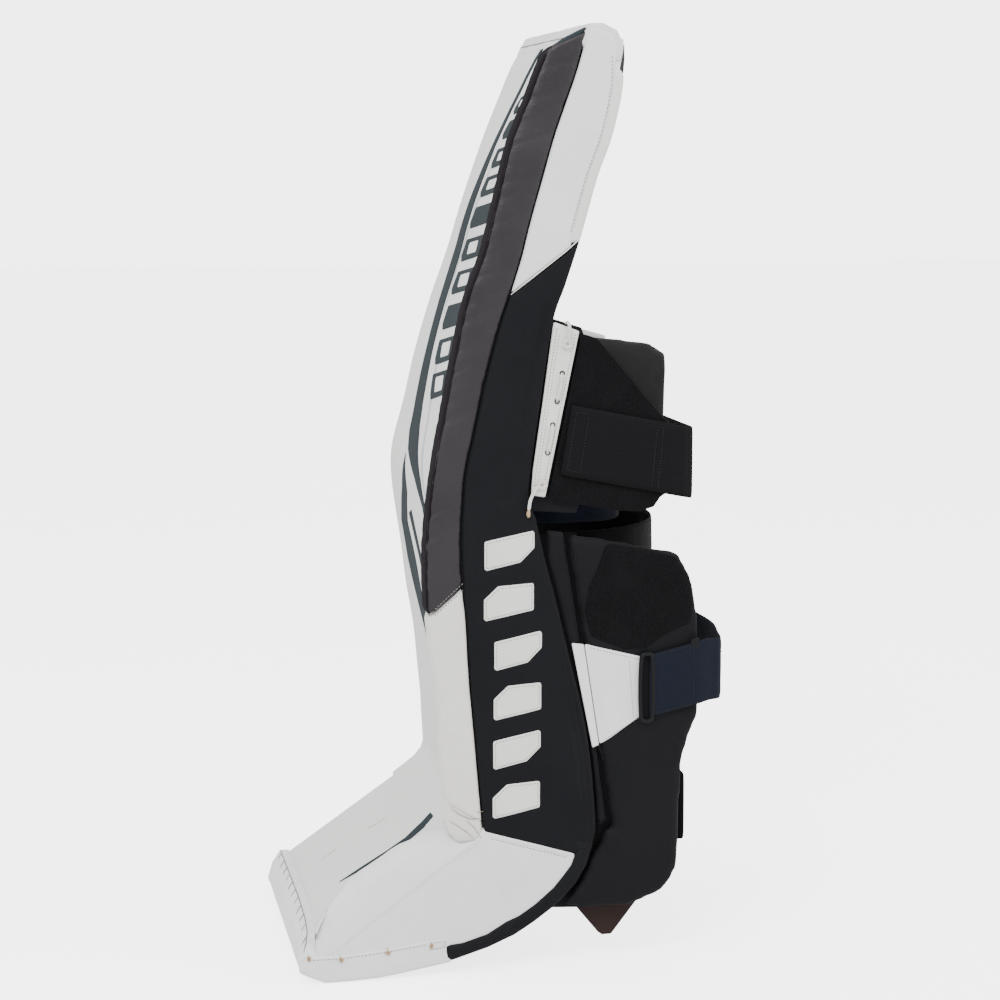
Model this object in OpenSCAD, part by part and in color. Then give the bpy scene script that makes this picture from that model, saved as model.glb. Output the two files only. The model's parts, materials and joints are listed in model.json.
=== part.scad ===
// Ice hockey goalie leg pad, left leg, senior size.
// X runs across the pad (+X is the outer side), -Y is the face that meets the puck, +Y is the leg side, Z is up.
// The pad stands on the flat underside of its toe.

/* [Overall] */
// Standing height of the pad, toe to thigh end
pad_h = 860; // [780:5:940]
// Width over the two side panels
pad_w = 276; // [262:2:290]
// Thickness of the leather and nylon covers
skin = 3; // [2.5:0.25:3.5]

/* [Outer roll] */
// Width of the raised roll along the outer edge, across the pad
roll_w = 28; // [24:1:32]

/* [Leg channel] */
// Clear width between the two calf bolsters
channel_w = 144; // [130:2:160]
// Thickness of the shin liner
liner_t = 8; // [6:0.5:9]

/* [Wings and straps] */
// Thickness of the calf wings
wing_t = 13; // [10:0.5:14]
// Thickness of the knee wing pad
knee_wing_t = 18; // [12:1:20]
// Thickness of the elastic straps
strap_t = 2.5; // [2:0.25:3]
// Outer length of the oval strap ring
ring_l = 68; // [64:1:72]

/* [Toe] */
// Diameter of the toe lace hole
lace_hole_d = 8; // [6:0.5:10]
// Number of whip stitches along the toe seam
toe_stitch_n = 13; // [7:1:17]

/* [Side panel] */
// Number of stitched bars down the side panel
bar_n = 6; // [3:1:6]
// Width of one stitched bar, across the panel
bar_w = 52; // [36:2:54]

/* [Hidden] */
$fn = 48;

hw = pad_w / 2;
kz = pad_h / 860;
// The drawing's lines start at the toe, so the whole pad is moved to centre its outline on the origin.
x_c = 2.7;
y_c = 52;

// Point lists are [depth, height]; P() carries them to the pad's own height.
function P(l) = [for (p = l) [p[0], p[1] * kz]];
function shift(l, d) = [for (p = l) [p[0] + d, p[1]]];
function rev(l) = [for (i = [len(l) - 1:-1:0]) l[i]];
function above(l, z) = [for (p = l) if (p[1] >= z) p];
function below(l, z) = [for (p = l) if (p[1] <= z) p];
// Depth of a side line at a height.
function at_z(l, z, i = 0) = (i >= len(l) - 2 || z <= l[i + 1][1])
  ? l[i][0] + (l[i + 1][0] - l[i][0]) * (z - l[i][1]) / (l[i + 1][1] - l[i][1]) : at_z(l, z, i + 1);

// A plate between two X planes with an outline seen from the side.
module slab(x0, x1, pts) {
  translate([x0 - x_c, -y_c, 0]) rotate([90, 0, 90]) linear_extrude(x1 - x0) polygon(P(pts));
}
// A band with an outline seen from above, between two heights.
module plan(z0, z1, pts) {
  translate([-x_c, -y_c, z0 * kz]) linear_extrude((z1 - z0) * kz) polygon(pts);
}

// Side lines, from the break upward.
face = [[3, 152], [0, 193], [-4, 235], [-8, 277], [-15, 319], [-20, 360], [-26, 401], [-29, 422], [-30, 442], [-27, 465],
  [-17, 502], [-5, 552], [10, 602], [28, 652], [43, 701], [63, 757], [80, 799], [94, 832], [106, 852]];
roll_front = [[-20, 162], [-22, 169], [-26, 212], [-27, 258], [-33, 296], [-39, 325], [-40, 351], [-40, 396], [-36, 441], [-29, 486],
  [-21, 530], [-12, 574], [-2, 618], [14, 662], [25, 706], [38, 758], [52, 792], [66, 828], [74, 838]];
roll_back = [[12, 139], [9, 173], [5, 220], [0, 276], [-3, 331], [-6, 361], [-7.5, 404], [-5.5, 440], [-3, 467], [3, 494],
  [9, 521], [17, 556], [28, 596], [37, 622], [47, 653], [56, 688], [66, 723], [76, 758], [85, 784], [97, 818], [107, 854]];
side_back = [[113, 108], [118, 129], [117, 157], [112, 205], [103, 252], [91, 300], [80, 346], [70, 383], [61, 420], [54, 438],
  [56, 466], [65, 528], [76, 598], [87, 630], [100, 670], [115, 723], [129, 762], [138, 803], [139, 838]];
core_back = [[50, 134], [50, 235], [48, 300], [46, 360], [46, 400], [49, 438], [51, 466], [60, 528], [71, 598], [82, 630],
  [95, 670], [110, 723], [124, 762], [133, 803], [134, 838]];

// Straight hinge lines: the depth of each at a height.
function calf_line(z) = 86.5 + (420 - z) * 0.1563;
function knee_line(z) = 102 + (z - 590) * 0.204;

// ---- leg section --------------------------------------------------------------------------------
module leg_core() {
  color("gainsboro") union() {
    slab(-hw + 4, hw - roll_w, concat(shift(face, skin), rev(core_back)));
    slab(hw - roll_w, hw - 4, concat(shift(roll_back, 0.3), [[121, 854], [134, 840]], rev(core_back)));
  }
}

module leg_face_cover() {
  color("white") slab(-hw, hw - roll_w, concat(face, rev(shift(face, skin))));
}

// Dark tapering stripe down the face, with the blade shapes at the knee, as thin inlays laid on the cover.
module face_stripe() {
  color([0.24, 0.29, 0.31]) union() {
    for (i = [8:len(face) - 2]) {
      t = (i - 8) / (len(face) - 9);
      x0 = 44 - 62 * t;
      w = 26 - 16 * t;
      slab(x0, x0 + w, [[face[i][0] - 1, face[i][1]], [face[i + 1][0] - 1, face[i + 1][1]], face[i + 1], face[i]]);
    }
  }
}

module outer_roll_upper() {
  color([0.20, 0.18, 0.19]) slab(hw - roll_w, hw, concat([[-38, 334.5]], above(roll_front, 351), [[100, 852]], rev(above(roll_back, 361.5)), [[-6, 361.3]]));
}

module outer_roll_lower() {
  color([0.93, 0.92, 0.90]) slab(hw - roll_w, hw, concat(below(roll_front, 325), [[-38.2, 334]], [[-5.9, 360.8]], rev(below(roll_back, 331))));
}

module outer_side_top() {
  color("white") slab(hw - 4, hw, concat([[37.5, 622.3], [88, 660.3], [99.8, 670.3]], above(side_back, 723), [[136, 851], [113, 857], [107.5, 854]],
    rev(shift(above(roll_back, 653), 0.2))));
}

module outer_side_panel() {
  color([0.13, 0.13, 0.14]) slab(hw - 4, hw, concat([[13, 133], [96, 112]], below(side_back, 630), [[99.8, 669.8], [88, 659.8], [37.5, 621.8]],
    rev(shift(below(roll_back, 596), 0.2))));
}

// Stitched bars of white leather down the nylon side panel, each a slanted plate with a dark inlay gap.
module outer_side_bars() {
  color("white") union() for (i = [0:bar_n - 1]) {
    z0 = 148 + i * 46;
    yb = 11 + i * 0.5 - (i > 3 ? 4 : 0);
    w = bar_w - (i > 4 ? 4 : 0);
    slab(hw, hw + 1.2, [[yb, z0], [yb + w, z0 + 9], [yb + w, z0 + 31], [yb, z0 + 22]]);
  }
}

module leg_binding() {
  color([0.07, 0.07, 0.08]) slab(hw, hw + 1.5, concat(below(side_back, 420),
    rev([for (p = below(side_back, 420)) [p[0] - (p[1] < 130 ? 16 : p[1] < 250 ? 18 : 18 - (p[1] - 250) * 0.085), p[1] + (p[1] < 110 ? 3.8 : 0)]])));
}

module inner_side_panel() {
  color([0.92, 0.92, 0.93]) slab(-hw, -hw + 4, concat(shift(face, skin), [[113, 857], [136, 851]], rev(side_back)));
}

module thigh_back_panel() {
  color([0.16, 0.16, 0.17]) slab(-hw + 4, hw - 4, concat(shift(above(core_back, 598), 0), rev(shift(above(core_back, 598), skin))));
}

module thigh_back_strip() {
  color([0.93, 0.92, 0.90]) slab(hw - 26, hw - 4, concat(shift(above(core_back, 670), skin), rev(shift(above(core_back, 670), skin + 3))));
}

module top_cap() {
  color("white") union() {
    slab(-hw + 4, hw - roll_w, [[103, 853.2], [107, 852.6], [121, 854.2], [134.2, 840.5], [138, 840.5], [136, 852], [113, 859.5], [108, 859.5]]);
    slab(hw - roll_w, hw, [[100, 852.6], [107, 854.6], [113, 857.4], [113, 860], [107, 860], [74, 842], [74, 838.6]]);
  }
}

module outer_bolster() {
  color([0.12, 0.12, 0.13]) slab(channel_w / 2, hw - 4, concat(below(core_back, 438), [[53.5, 438]], rev(below(side_back, 420)), [[109, 113]]));
}

module inner_bolster() {
  color([0.12, 0.12, 0.13]) slab(-hw + 4, -channel_w / 2, concat(below(core_back, 438), [[53.5, 438]], rev(below(side_back, 420)), [[109, 113]]));
}

module shin_liner() {
  color([0.18, 0.18, 0.19]) slab(-channel_w / 2, channel_w / 2, concat(
    [[50, 150]], [for (p = core_back) if (p[1] > 200 && p[1] < 405) p], [[49, 432]],
    [[49 + liner_t, 432]], rev([for (p = core_back) if (p[1] > 200 && p[1] < 405) [p[0] + liner_t, p[1]]]), [[50 + liner_t, 150]]));
}

module knee_cradle() {
  color([0.15, 0.15, 0.16]) slab(-58, 108, [[49.5, 442], [51, 466], [60, 528], [69, 585], [86, 580], [77, 528], [69, 466], [66, 446]]);
}

module knee_block() {
  color([0.14, 0.14, 0.15]) slab(-hw + 1, -60, [[56.5, 448], [58, 466], [67, 528], [74, 574], [166, 552], [162, 500], [150, 452]]);
}

module knee_block_top() {
  color([0.93, 0.93, 0.92]) slab(-hw + 1, -60, [[74, 574.4], [76.5, 592], [178, 570], [168, 552]]);
}

module lace_strip() {
  color([0.92, 0.91, 0.87]) slab(hw - 4, hw, [[77, 598], [101, 589.5], [70, 439.5], [56.3, 442], [58, 466], [67, 528]]);
}

// Two visible runs of lace on the strip, and the two end knots.
module knee_lace() {
  color([0.93, 0.91, 0.85]) union() {
    for (z = [481, 527])
      translate([hw + 1.35 - x_c, 67 + (z - 463) * 0.2 - y_c, z * kz]) rotate([-11, 0, 0]) cylinder(h = 25, d = 2.6, $fn = 20);
    for (k = [[89, 578], [64, 449]])
      translate([hw + 0.05 - x_c, k[0] - y_c, k[1] * kz]) rotate([0, 90, 0]) cylinder(h = 2.6, d = 6, $fn = 20);
  }
}

module outer_wing_root() {
  color([0.10, 0.10, 0.11]) slab(hw - 14, hw - 4.3, [[119, 137], [124, 130], [calf_line(137) - 0.6, 137], [calf_line(408) - 0.6, 408], [72, 410],
    [71.5, 383], [81.5, 346], [92.5, 300], [104.5, 252], [113.5, 205], [118.5, 157]]);
}

module inner_wing_root() {
  color([0.10, 0.10, 0.11]) slab(-hw + 0.5, -hw + 14, [[119, 137], [124, 130], [calf_line(137) - 0.6, 137], [calf_line(408) - 0.6, 408], [72, 410],
    [71.5, 383], [81.5, 346], [92.5, 300], [104.5, 252], [113.5, 205], [118.5, 157]]);
}

// Nylon strap that crosses behind the top of the shin, from bolster to bolster.
module upper_calf_strap() {
  color([0.11, 0.13, 0.18]) union() {
    plan(411, 430, [[-hw + 8, 63.3], [-hw + 8, 110], [-90, 150], [60, 158], [96, 138], [104, 100], [104, 63.3], [101.5, 63.3], [101.5, 99], [94, 136],
      [59, 155.5], [-89, 147.5], [-hw + 10.5, 108], [-hw + 10.5, 63.3]]);
  }
}

// ---- boot ---------------------------------------------------------------------------------------
module boot_core() {
  color("gainsboro") slab(-hw + 24, hw - 24, [[1, 139.3], [-10, 127.9], [-136.8, 39.9], [-148.7, 14], [-108, 14], [-10, 82], [38, 103], [20, 124]]);
}

module boot_face_cover() {
  color("white") slab(-hw, hw - 20, [[1, 142.6], [-10, 131], [-137, 43.2], [-137, 40.2], [-10, 128.2], [1, 139.6]]);
}

module boot_stripe() {
  color([0.30, 0.32, 0.34]) union() for (i = [0:6]) {
    t = i / 7;
    y0 = -22 - 92 * t;
    y1 = -22 - 92 * (t + 1 / 7);
    slab(38 - 26 * t, 46 - 22 * t - 4 * t * t, [[y0, 131.2 + (y0 + 10) * 0.693], [y0, 132.2 + (y0 + 10) * 0.693],
      [y1, 132.2 + (y1 + 10) * 0.693], [y1, 131.2 + (y1 + 10) * 0.693]]);
  }
}

boot_low = [[-148.9, 14.2], [-134, 1.5], [-84, 1.5], [-17, 12], [17.4, 22], [42.4, 32.4], [60.2, 43.4], [76.6, 55], [87.9, 65], [99.5, 79.5], [102, 85], [98, 93]];
module boot_side_outer() {
  color([0.94, 0.94, 0.95]) union() {
    slab(hw - 20, hw - 8, concat([[12, 129], [-19, 135], [-62, 118], [-99, 95], [-127, 71], [-137, 56], [-136.8, 40]], boot_low));
    slab(hw - 24, hw - 20, concat([[12, 120], [-19, 118], [-99, 63], [-134, 42], [-136.8, 40]], boot_low));
    slab(hw - 8, hw, concat([[13, 128.5], [-20, 106], [-65, 74], [-118, 34]], boot_low));
  }
}

module boot_side_inner() {
  color([0.94, 0.94, 0.95]) union() {
    slab(-hw, -hw + 24, concat([[12, 129], [-10, 127.6], [-99, 66], [-136.8, 39.6]], boot_low));
  }
}

module toe_cap() {
  color("white") union() {
    slab(-hw - 0.5, hw, [[-138.5, 54], [-150, 36], [-158, 15], [-140, 3.75], [-138, 5], [-152.3, 14.2], [-149.3, 14.4], [-137.4, 40], [-137.3, 52]]);
    for (x = [[-hw - 0.5, -hw + 26], [hw - 26, hw]])
      slab(x[0], x[1], [[-158, 15], [-134, 0], [-84, 0], [-84, 1.3], [-134, 1.3], [-152.3, 14]]);
    for (x = [[hw, hw + 1.5], [-hw - 1.5, -hw]])
      slab(x[0], x[1], [[-158, 15], [-134, 0], [-84, 0], [-17, 11.5], [-14, 24], [-84, 13.5], [-128, 13], [-146, 24], [-150, 36]]);
  }
}

// Whip stitches across the toe seam.
module toe_stitches() {
  color([0.80, 0.76, 0.68]) union() for (i = [0:toe_stitch_n - 1])
    translate([-118 + i * 236 / (toe_stitch_n - 1) - x_c, -145.3 - y_c, 45.7 * kz]) rotate([-32.6, 0, 0]) cylinder(h = 15, d = 2, center = true, $fn = 16);
}

// Lace knots along the toe band on the outer side.
module toe_knots() {
  color([0.78, 0.68, 0.52]) union() for (p = [[-147, 22], [-116, 14.5], [-74, 16], [-32, 22]])
    translate([hw + 1.6 - x_c, p[0] - y_c, p[1] * kz]) rotate([0, 90, 0]) cylinder(h = 2.4, d = 6, $fn = 24);
}

// Hard plate under the toe with the hole that takes the toe lace.
module toe_bridge() {
  color([0.10, 0.10, 0.11]) translate([-x_c, -y_c, 0]) difference() {
    translate([-30, -134, 8 * kz]) cube([60, 47, 5.5 * kz]);
    translate([0, -97, 0]) cylinder(h = 40, d = lace_hole_d);
  }
}

module boot_binding() {
  color([0.07, 0.07, 0.08]) slab(hw, hw + 1.5, [[-13, 12.9], [17.4, 22.6], [42.4, 33], [60.2, 44], [76.6, 55.7], [87.9, 65.8], [100.5, 79.9], [106, 88], [104, 93],
    [91, 95], [86.6, 88.4], [77.7, 77.5], [60.1, 62.6], [45, 52.7], [32.4, 47.2], [14.8, 36.9], [-7.9, 30.2], [-13, 29.3]]);
}

// ---- knee wing ----------------------------------------------------------------------------------
module knee_wing_pad() {
  color([0.08, 0.08, 0.09]) slab(hw - 6 - knee_wing_t, hw - 6, [[knee_line(588) + 1, 588], [168, 579], [186, 569], [187, 552], [185, 500], [180, 440],
    [knee_line(444) + 1, 444]]);
}

module knee_flap() {
  color([0.05, 0.05, 0.06]) slab(hw - 5.8, hw - 0.6, [[knee_line(588) + 1, 588], [117, 583], [165, 527], [184, 505], [196, 490], [190, 445], [177, 437],
    [171, 428], [157, 424], [134, 426], [knee_line(437) + 1.2, 437]]);
}

// ---- knee strap ---------------------------------------------------------------------------------
function knee_band(d) = [[hw + d, 80], [hw + d, 196], [hw - 8 + d, 206 + d], [-50, 206 + d], [-108 - d, 180 + d]];
module knee_strap() {
  color([0.06, 0.06, 0.07]) intersection() {
    plan(420, 540, concat(knee_band(strap_t + 0.2), rev(knee_band(0.2))));
    slab(-150, 150, [[93.5, 523.3], [214, 499], [214, 434], [82.5, 461.2]]);
  }
}

// Folded webbing loop that keeps the strap's upper edge.
module knee_strap_keeper() {
  color([0.07, 0.07, 0.08]) slab(hw - 6, hw - 3, [[189, 512], [192, 500], [198.5, 499], [198.5, 514], [197, 528], [192, 524]]);
}

// ---- outer calf wing ----------------------------------------------------------------------------
module outer_calf_wing() {
  color([0.09, 0.09, 0.10]) union() {
    slab(hw - 14, hw - 14 + wing_t, [[calf_line(409) + 0.8, 409], [122, 403], [174, 392], [196, 388], [210, 363], [217, 321],
      [219, 234], [210, 212], [203, 189], [202, 117], [200, 88], [184, 63], [163, 55], [153, 50.5], [calf_line(50.5) + 0.8, 50.5]]);
    // Thinner lobe ahead of the hinge line that closes the gap behind the boot's back edge.
    slab(hw - 14, hw - 4.5, [[calf_line(127) + 2, 127], [125, 127], [123.2, 113], [116.5, 107.5], [113.4, 99], [110, 89], [105.5, 80], [100, 71],
      [94, 63.3], [87.5, 57.3], [87.5, 54.1], [106, 51.5], [calf_line(50.5) + 2, 50.5]]);
  }
}

module calf_hook_pad() {
  color([0.04, 0.04, 0.04]) slab(hw - 1, hw + 0.2, [[125, 394], [174, 387], [194, 383], [206, 361], [213, 322], [200, 310], [150, 318], [124, 340], [122, 372]]);
}

module calf_tab() {
  color("white") slab(hw - 1, hw + 1, [[calf_line(305) + 2, 305], [161, 291], [167, 233], [calf_line(208) + 2, 208]]);
}

// ---- calf strap ---------------------------------------------------------------------------------
function calf_band(d) = [[hw + 2.4 + d, 173.2], [hw + 2.4 + d, 214], [hw - 6 + d, 236 + d], [60, 250 + d], [-60, 246 + d], [-112 - d, 222 + d], [-119 - d, 196]];
module calf_strap() {
  color([0.13, 0.15, 0.20]) intersection() {
    plan(220, 320, concat(calf_band(strap_t), rev(calf_band(0))));
    slab(-150, 150, [[160, 233], [160, 291], [222, 305], [260, 303], [260, 248], [224, 247]]);
  }
}

// Oval ring that carries the strap at the end of the white tab.
module calf_ring() {
  w = 17;
  b = 4.5;
  color([0.10, 0.12, 0.16]) translate([hw + 1.2 - x_c, 164.5 - y_c, 262 * kz]) rotate([90, 0, 90]) linear_extrude(4) difference() {
    union() {
      square([w, ring_l - w], center = true);
      for (s = [-1, 1]) translate([0, s * (ring_l - w) / 2]) circle(d = w);
    }
    union() {
      square([w - 2 * b, ring_l - w], center = true);
      for (s = [-1, 1]) translate([0, s * (ring_l - w) / 2]) circle(d = w - 2 * b);
    }
  }
}

module calf_strap_tab() {
  color([0.10, 0.10, 0.12]) slab(hw + 2.4 + strap_t, hw + 4.4 + strap_t, [[206, 306], [214, 308], [214, 288], [206, 286]]);
}

// ---- inner calf wing ----------------------------------------------------------------------------
module inner_calf_wing() {
  color([0.09, 0.09, 0.10]) slab(-hw + 1, -hw + 1 + wing_t, [[calf_line(409) + 0.8, 409], [122, 403], [174, 392], [196, 388], [208, 363], [212, 321],
    [212, 234], [206, 212], [201, 189], [201, 137], [201, 45], [163, 50], [calf_line(52) + 0.8, 52]]);
}

module inner_ankle_lobe() {
  color([0.09, 0.09, 0.10]) plan(44, 134, [[-hw + 1, 201.2], [-hw + 4, 216], [-116, 240], [-62, 262], [-54, 256], [-107, 230], [-hw + 14, 212], [-hw + 14, 201.2]]);
}

module inner_hook_pad() {
  color([0.04, 0.04, 0.04]) slab(-hw + 0.2, -hw + 0.9, [[125, 394], [174, 387], [194, 383], [204, 361], [207, 322], [200, 250], [150, 250], [124, 340], [122, 372]]);
}

// ---- ankle flap ---------------------------------------------------------------------------------
module ankle_flap() {
  color([0.20, 0.13, 0.11]) slab(hw - 21, hw - 17.5, [[108, 68], [104, 50], [125, 24], [129, 21], [138, 21], [162, 52], [166, 68]]);
}

leg_core();
leg_face_cover();
face_stripe();
outer_roll_upper();
outer_roll_lower();
outer_side_top();
outer_side_panel();
outer_side_bars();
leg_binding();
inner_side_panel();
thigh_back_panel();
thigh_back_strip();
top_cap();
outer_bolster();
inner_bolster();
shin_liner();
knee_cradle();
knee_block();
knee_block_top();
lace_strip();
knee_lace();
outer_wing_root();
inner_wing_root();
upper_calf_strap();
boot_core();
boot_face_cover();
boot_stripe();
boot_side_outer();
boot_side_inner();
toe_cap();
toe_stitches();
toe_knots();
toe_bridge();
boot_binding();
knee_wing_pad();
knee_flap();
knee_strap();
knee_strap_keeper();
outer_calf_wing();
calf_hook_pad();
calf_tab();
calf_strap();
calf_ring();
calf_strap_tab();
inner_calf_wing();
inner_ankle_lobe();
inner_hook_pad();
ankle_flap();
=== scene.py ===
import json
import math
import random

import bpy
import bmesh
import numpy as np
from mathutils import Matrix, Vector, noise as mnoise
from mathutils.geometry import delaunay_2d_cdt

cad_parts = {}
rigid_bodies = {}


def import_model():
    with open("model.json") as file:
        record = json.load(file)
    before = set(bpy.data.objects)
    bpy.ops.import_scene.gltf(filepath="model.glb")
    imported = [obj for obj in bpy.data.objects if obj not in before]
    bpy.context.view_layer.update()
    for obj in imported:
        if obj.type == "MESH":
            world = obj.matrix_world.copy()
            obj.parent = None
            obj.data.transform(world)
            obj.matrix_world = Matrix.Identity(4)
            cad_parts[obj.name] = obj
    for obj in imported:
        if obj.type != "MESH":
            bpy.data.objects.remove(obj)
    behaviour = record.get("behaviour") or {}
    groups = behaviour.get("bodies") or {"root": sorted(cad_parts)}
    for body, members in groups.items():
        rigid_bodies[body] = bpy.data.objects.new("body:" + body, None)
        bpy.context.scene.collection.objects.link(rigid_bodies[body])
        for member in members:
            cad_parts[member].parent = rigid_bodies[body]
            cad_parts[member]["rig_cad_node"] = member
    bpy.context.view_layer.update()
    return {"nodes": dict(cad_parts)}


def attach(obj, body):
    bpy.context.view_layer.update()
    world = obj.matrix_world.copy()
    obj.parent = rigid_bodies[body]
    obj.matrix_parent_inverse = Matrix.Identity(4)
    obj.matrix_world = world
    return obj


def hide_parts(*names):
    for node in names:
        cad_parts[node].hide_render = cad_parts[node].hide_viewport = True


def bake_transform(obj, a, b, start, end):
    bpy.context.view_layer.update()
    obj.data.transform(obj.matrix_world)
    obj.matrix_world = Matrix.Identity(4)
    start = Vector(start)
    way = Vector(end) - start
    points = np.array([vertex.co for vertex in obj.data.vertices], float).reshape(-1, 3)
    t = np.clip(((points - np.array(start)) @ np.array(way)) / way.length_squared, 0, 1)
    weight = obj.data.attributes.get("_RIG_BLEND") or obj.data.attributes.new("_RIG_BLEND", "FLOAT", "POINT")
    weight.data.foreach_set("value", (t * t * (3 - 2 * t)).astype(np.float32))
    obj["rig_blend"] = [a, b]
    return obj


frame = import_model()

XC, YC = 2.7, 52.0          # the drawing's offsets from the part's frame, in millimetres
rng = random.Random(7)


# ------------------------------------------------------------------ small tools, all in millimetres
def world(p):
    """Drawing millimetres to frame metres."""
    p = np.asarray(p, float)
    return np.stack([(p[..., 0] - XC) / 1000, (p[..., 1] - YC) / 1000, p[..., 2] / 1000], -1)


BY = {}


def link(me, name):
    """An object for the mesh; a piece that stands for a CAD node of the same name gets "_made" after it."""
    o = bpy.data.objects.new(name + "_made" if name in frame["nodes"] else name, me)
    BY[name] = o
    bpy.context.scene.collection.objects.link(o)
    return o


def mesh(name, verts_mm, faces, smooth=True):
    me = bpy.data.meshes.new(name)
    me.from_pydata([tuple(v) for v in world(verts_mm)], [], [tuple(int(i) for i in f) for f in faces])
    me.validate()
    bm = bmesh.new()
    bm.from_mesh(me)
    bmesh.ops.recalc_face_normals(bm, faces=bm.faces)
    bm.to_mesh(me)
    bm.free()
    me.polygons.foreach_set("use_smooth", [smooth] * len(me.polygons))
    return link(me, name)


def resample(pts, step, closed=False):
    """Points every step or so along a polyline, corners kept."""
    pts = [np.array(p, float) for p in pts]
    out = []
    n = len(pts)
    for i in range(n if closed else n - 1):
        a, b = pts[i], pts[(i + 1) % n]
        k = max(1, int(round(np.linalg.norm(b - a) / step)))
        for j in range(k):
            out.append(a + (b - a) * j / k)
    if not closed:
        out.append(pts[-1])
    return np.array(out)


def spline(pts, step):
    """A Catmull-Rom curve through the points, sampled evenly."""
    p = np.array(pts, float)
    q = np.vstack([2 * p[0] - p[1], p, 2 * p[-1] - p[-2]])
    out = []
    for i in range(1, len(q) - 2):
        a, b, c, d = q[i - 1], q[i], q[i + 1], q[i + 2]
        for t in np.linspace(0, 1, 12, endpoint=False):
            out.append(0.5 * (2 * b + (c - a) * t + (2 * a - 5 * b + 4 * c - d) * t * t + (3 * b - a - 3 * c + d) * t ** 3))
    out.append(q[-2])
    out = np.array(out)
    s = np.r_[0, np.cumsum(np.linalg.norm(np.diff(out, axis=0), axis=1))]
    n = max(2, int(round(s[-1] / step)) + 1)
    u = np.linspace(0, s[-1], n)
    return np.stack([np.interp(u, s, out[:, k]) for k in range(out.shape[1])], -1)


def rounded(poly, r, step=1.5, corners=None):
    """A closed outline with its corners rounded to radius r (a list gives one radius for each corner)."""
    p = [np.array(q, float) for q in poly]
    n = len(p)
    out = []
    for i in range(n):
        a, b, c = p[i - 1], p[i], p[(i + 1) % n]
        ri = r if corners is None else corners[i]
        u, v = a - b, c - b
        lu, lv = np.linalg.norm(u), np.linalg.norm(v)
        u, v = u / lu, v / lv
        ang = math.acos(max(-1, min(1, float(u @ v))))
        if ri <= 0.05 or ang > math.pi - 0.03:
            out.append(b)
            continue
        cut = min(ri / math.tan(ang / 2), 0.45 * lu, 0.45 * lv)
        k = max(2, int((math.pi - ang) * ri / step) + 1)
        for j in range(k + 1):
            t = j / k
            out.append((1 - t) ** 2 * (b + u * cut) + 2 * t * (1 - t) * b + t * t * (b + v * cut))
    return np.array(out)


def dist_line(q, line, closed=False):
    """Distance of each point of q from a polyline."""
    q = np.asarray(q, float)
    p = np.asarray(line, float)
    a, b = (p, np.roll(p, -1, 0)) if closed else (p[:-1], p[1:])
    ab = b - a
    ll = np.maximum((ab * ab).sum(1), 1e-12)
    out = np.empty(len(q))
    step = max(1, int(1.5e6 // max(len(a), 1)))
    for i in range(0, len(q), step):
        w = q[i:i + step, None, :] - a[None]
        t = np.clip((w * ab[None]).sum(2) / ll[None], 0, 1)
        out[i:i + step] = np.sqrt((((w - t[..., None] * ab[None]) ** 2).sum(2)).min(1))
    return out


def inside(q, poly):
    q = np.asarray(q, float)
    x, y = q[:, 0], q[:, 1]
    c = np.zeros(len(q), bool)
    n = len(poly)
    for i in range(n):
        x1, y1 = poly[i][0], poly[i][1]
        x2, y2 = poly[(i + 1) % n][0], poly[(i + 1) % n][1]
        m = ((y1 > y) != (y2 > y)) & (x < (x2 - x1) * (y - y1) / ((y2 - y1) + 1e-12) + x1)
        c ^= m
    return c


def fbm(u, v, scale, seed=0.0, octaves=3):
    """Smooth repeatable noise, about -1 to 1, for arrays of drawing points."""
    out = np.zeros(len(u))
    for i in range(len(u)):
        out[i] = mnoise.fractal(Vector((u[i] / scale + seed, v[i] / scale - seed, seed * 0.37)), 0.8, 2.0, octaves)
    return out


class Sheet:
    """A flat drawing (u, v) carried onto a surface: place(u, v, h) gives the point h above it."""

    def __init__(self, place, top=None):
        self.place = place
        self.top = top or (lambda u, v: np.zeros(len(u)))

    def on(self, u, v, lift=0.0):
        u, v = np.asarray(u, float), np.asarray(v, float)
        return self.place(u, v, self.top(u, v) + lift)


def side_sheet(x, sign=1.0, top=None):
    """The plane X = x, drawn in (Y, Z); height runs outwards."""
    return Sheet(lambda u, v, h: np.stack([x + sign * h, u, v], -1), top)


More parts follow.
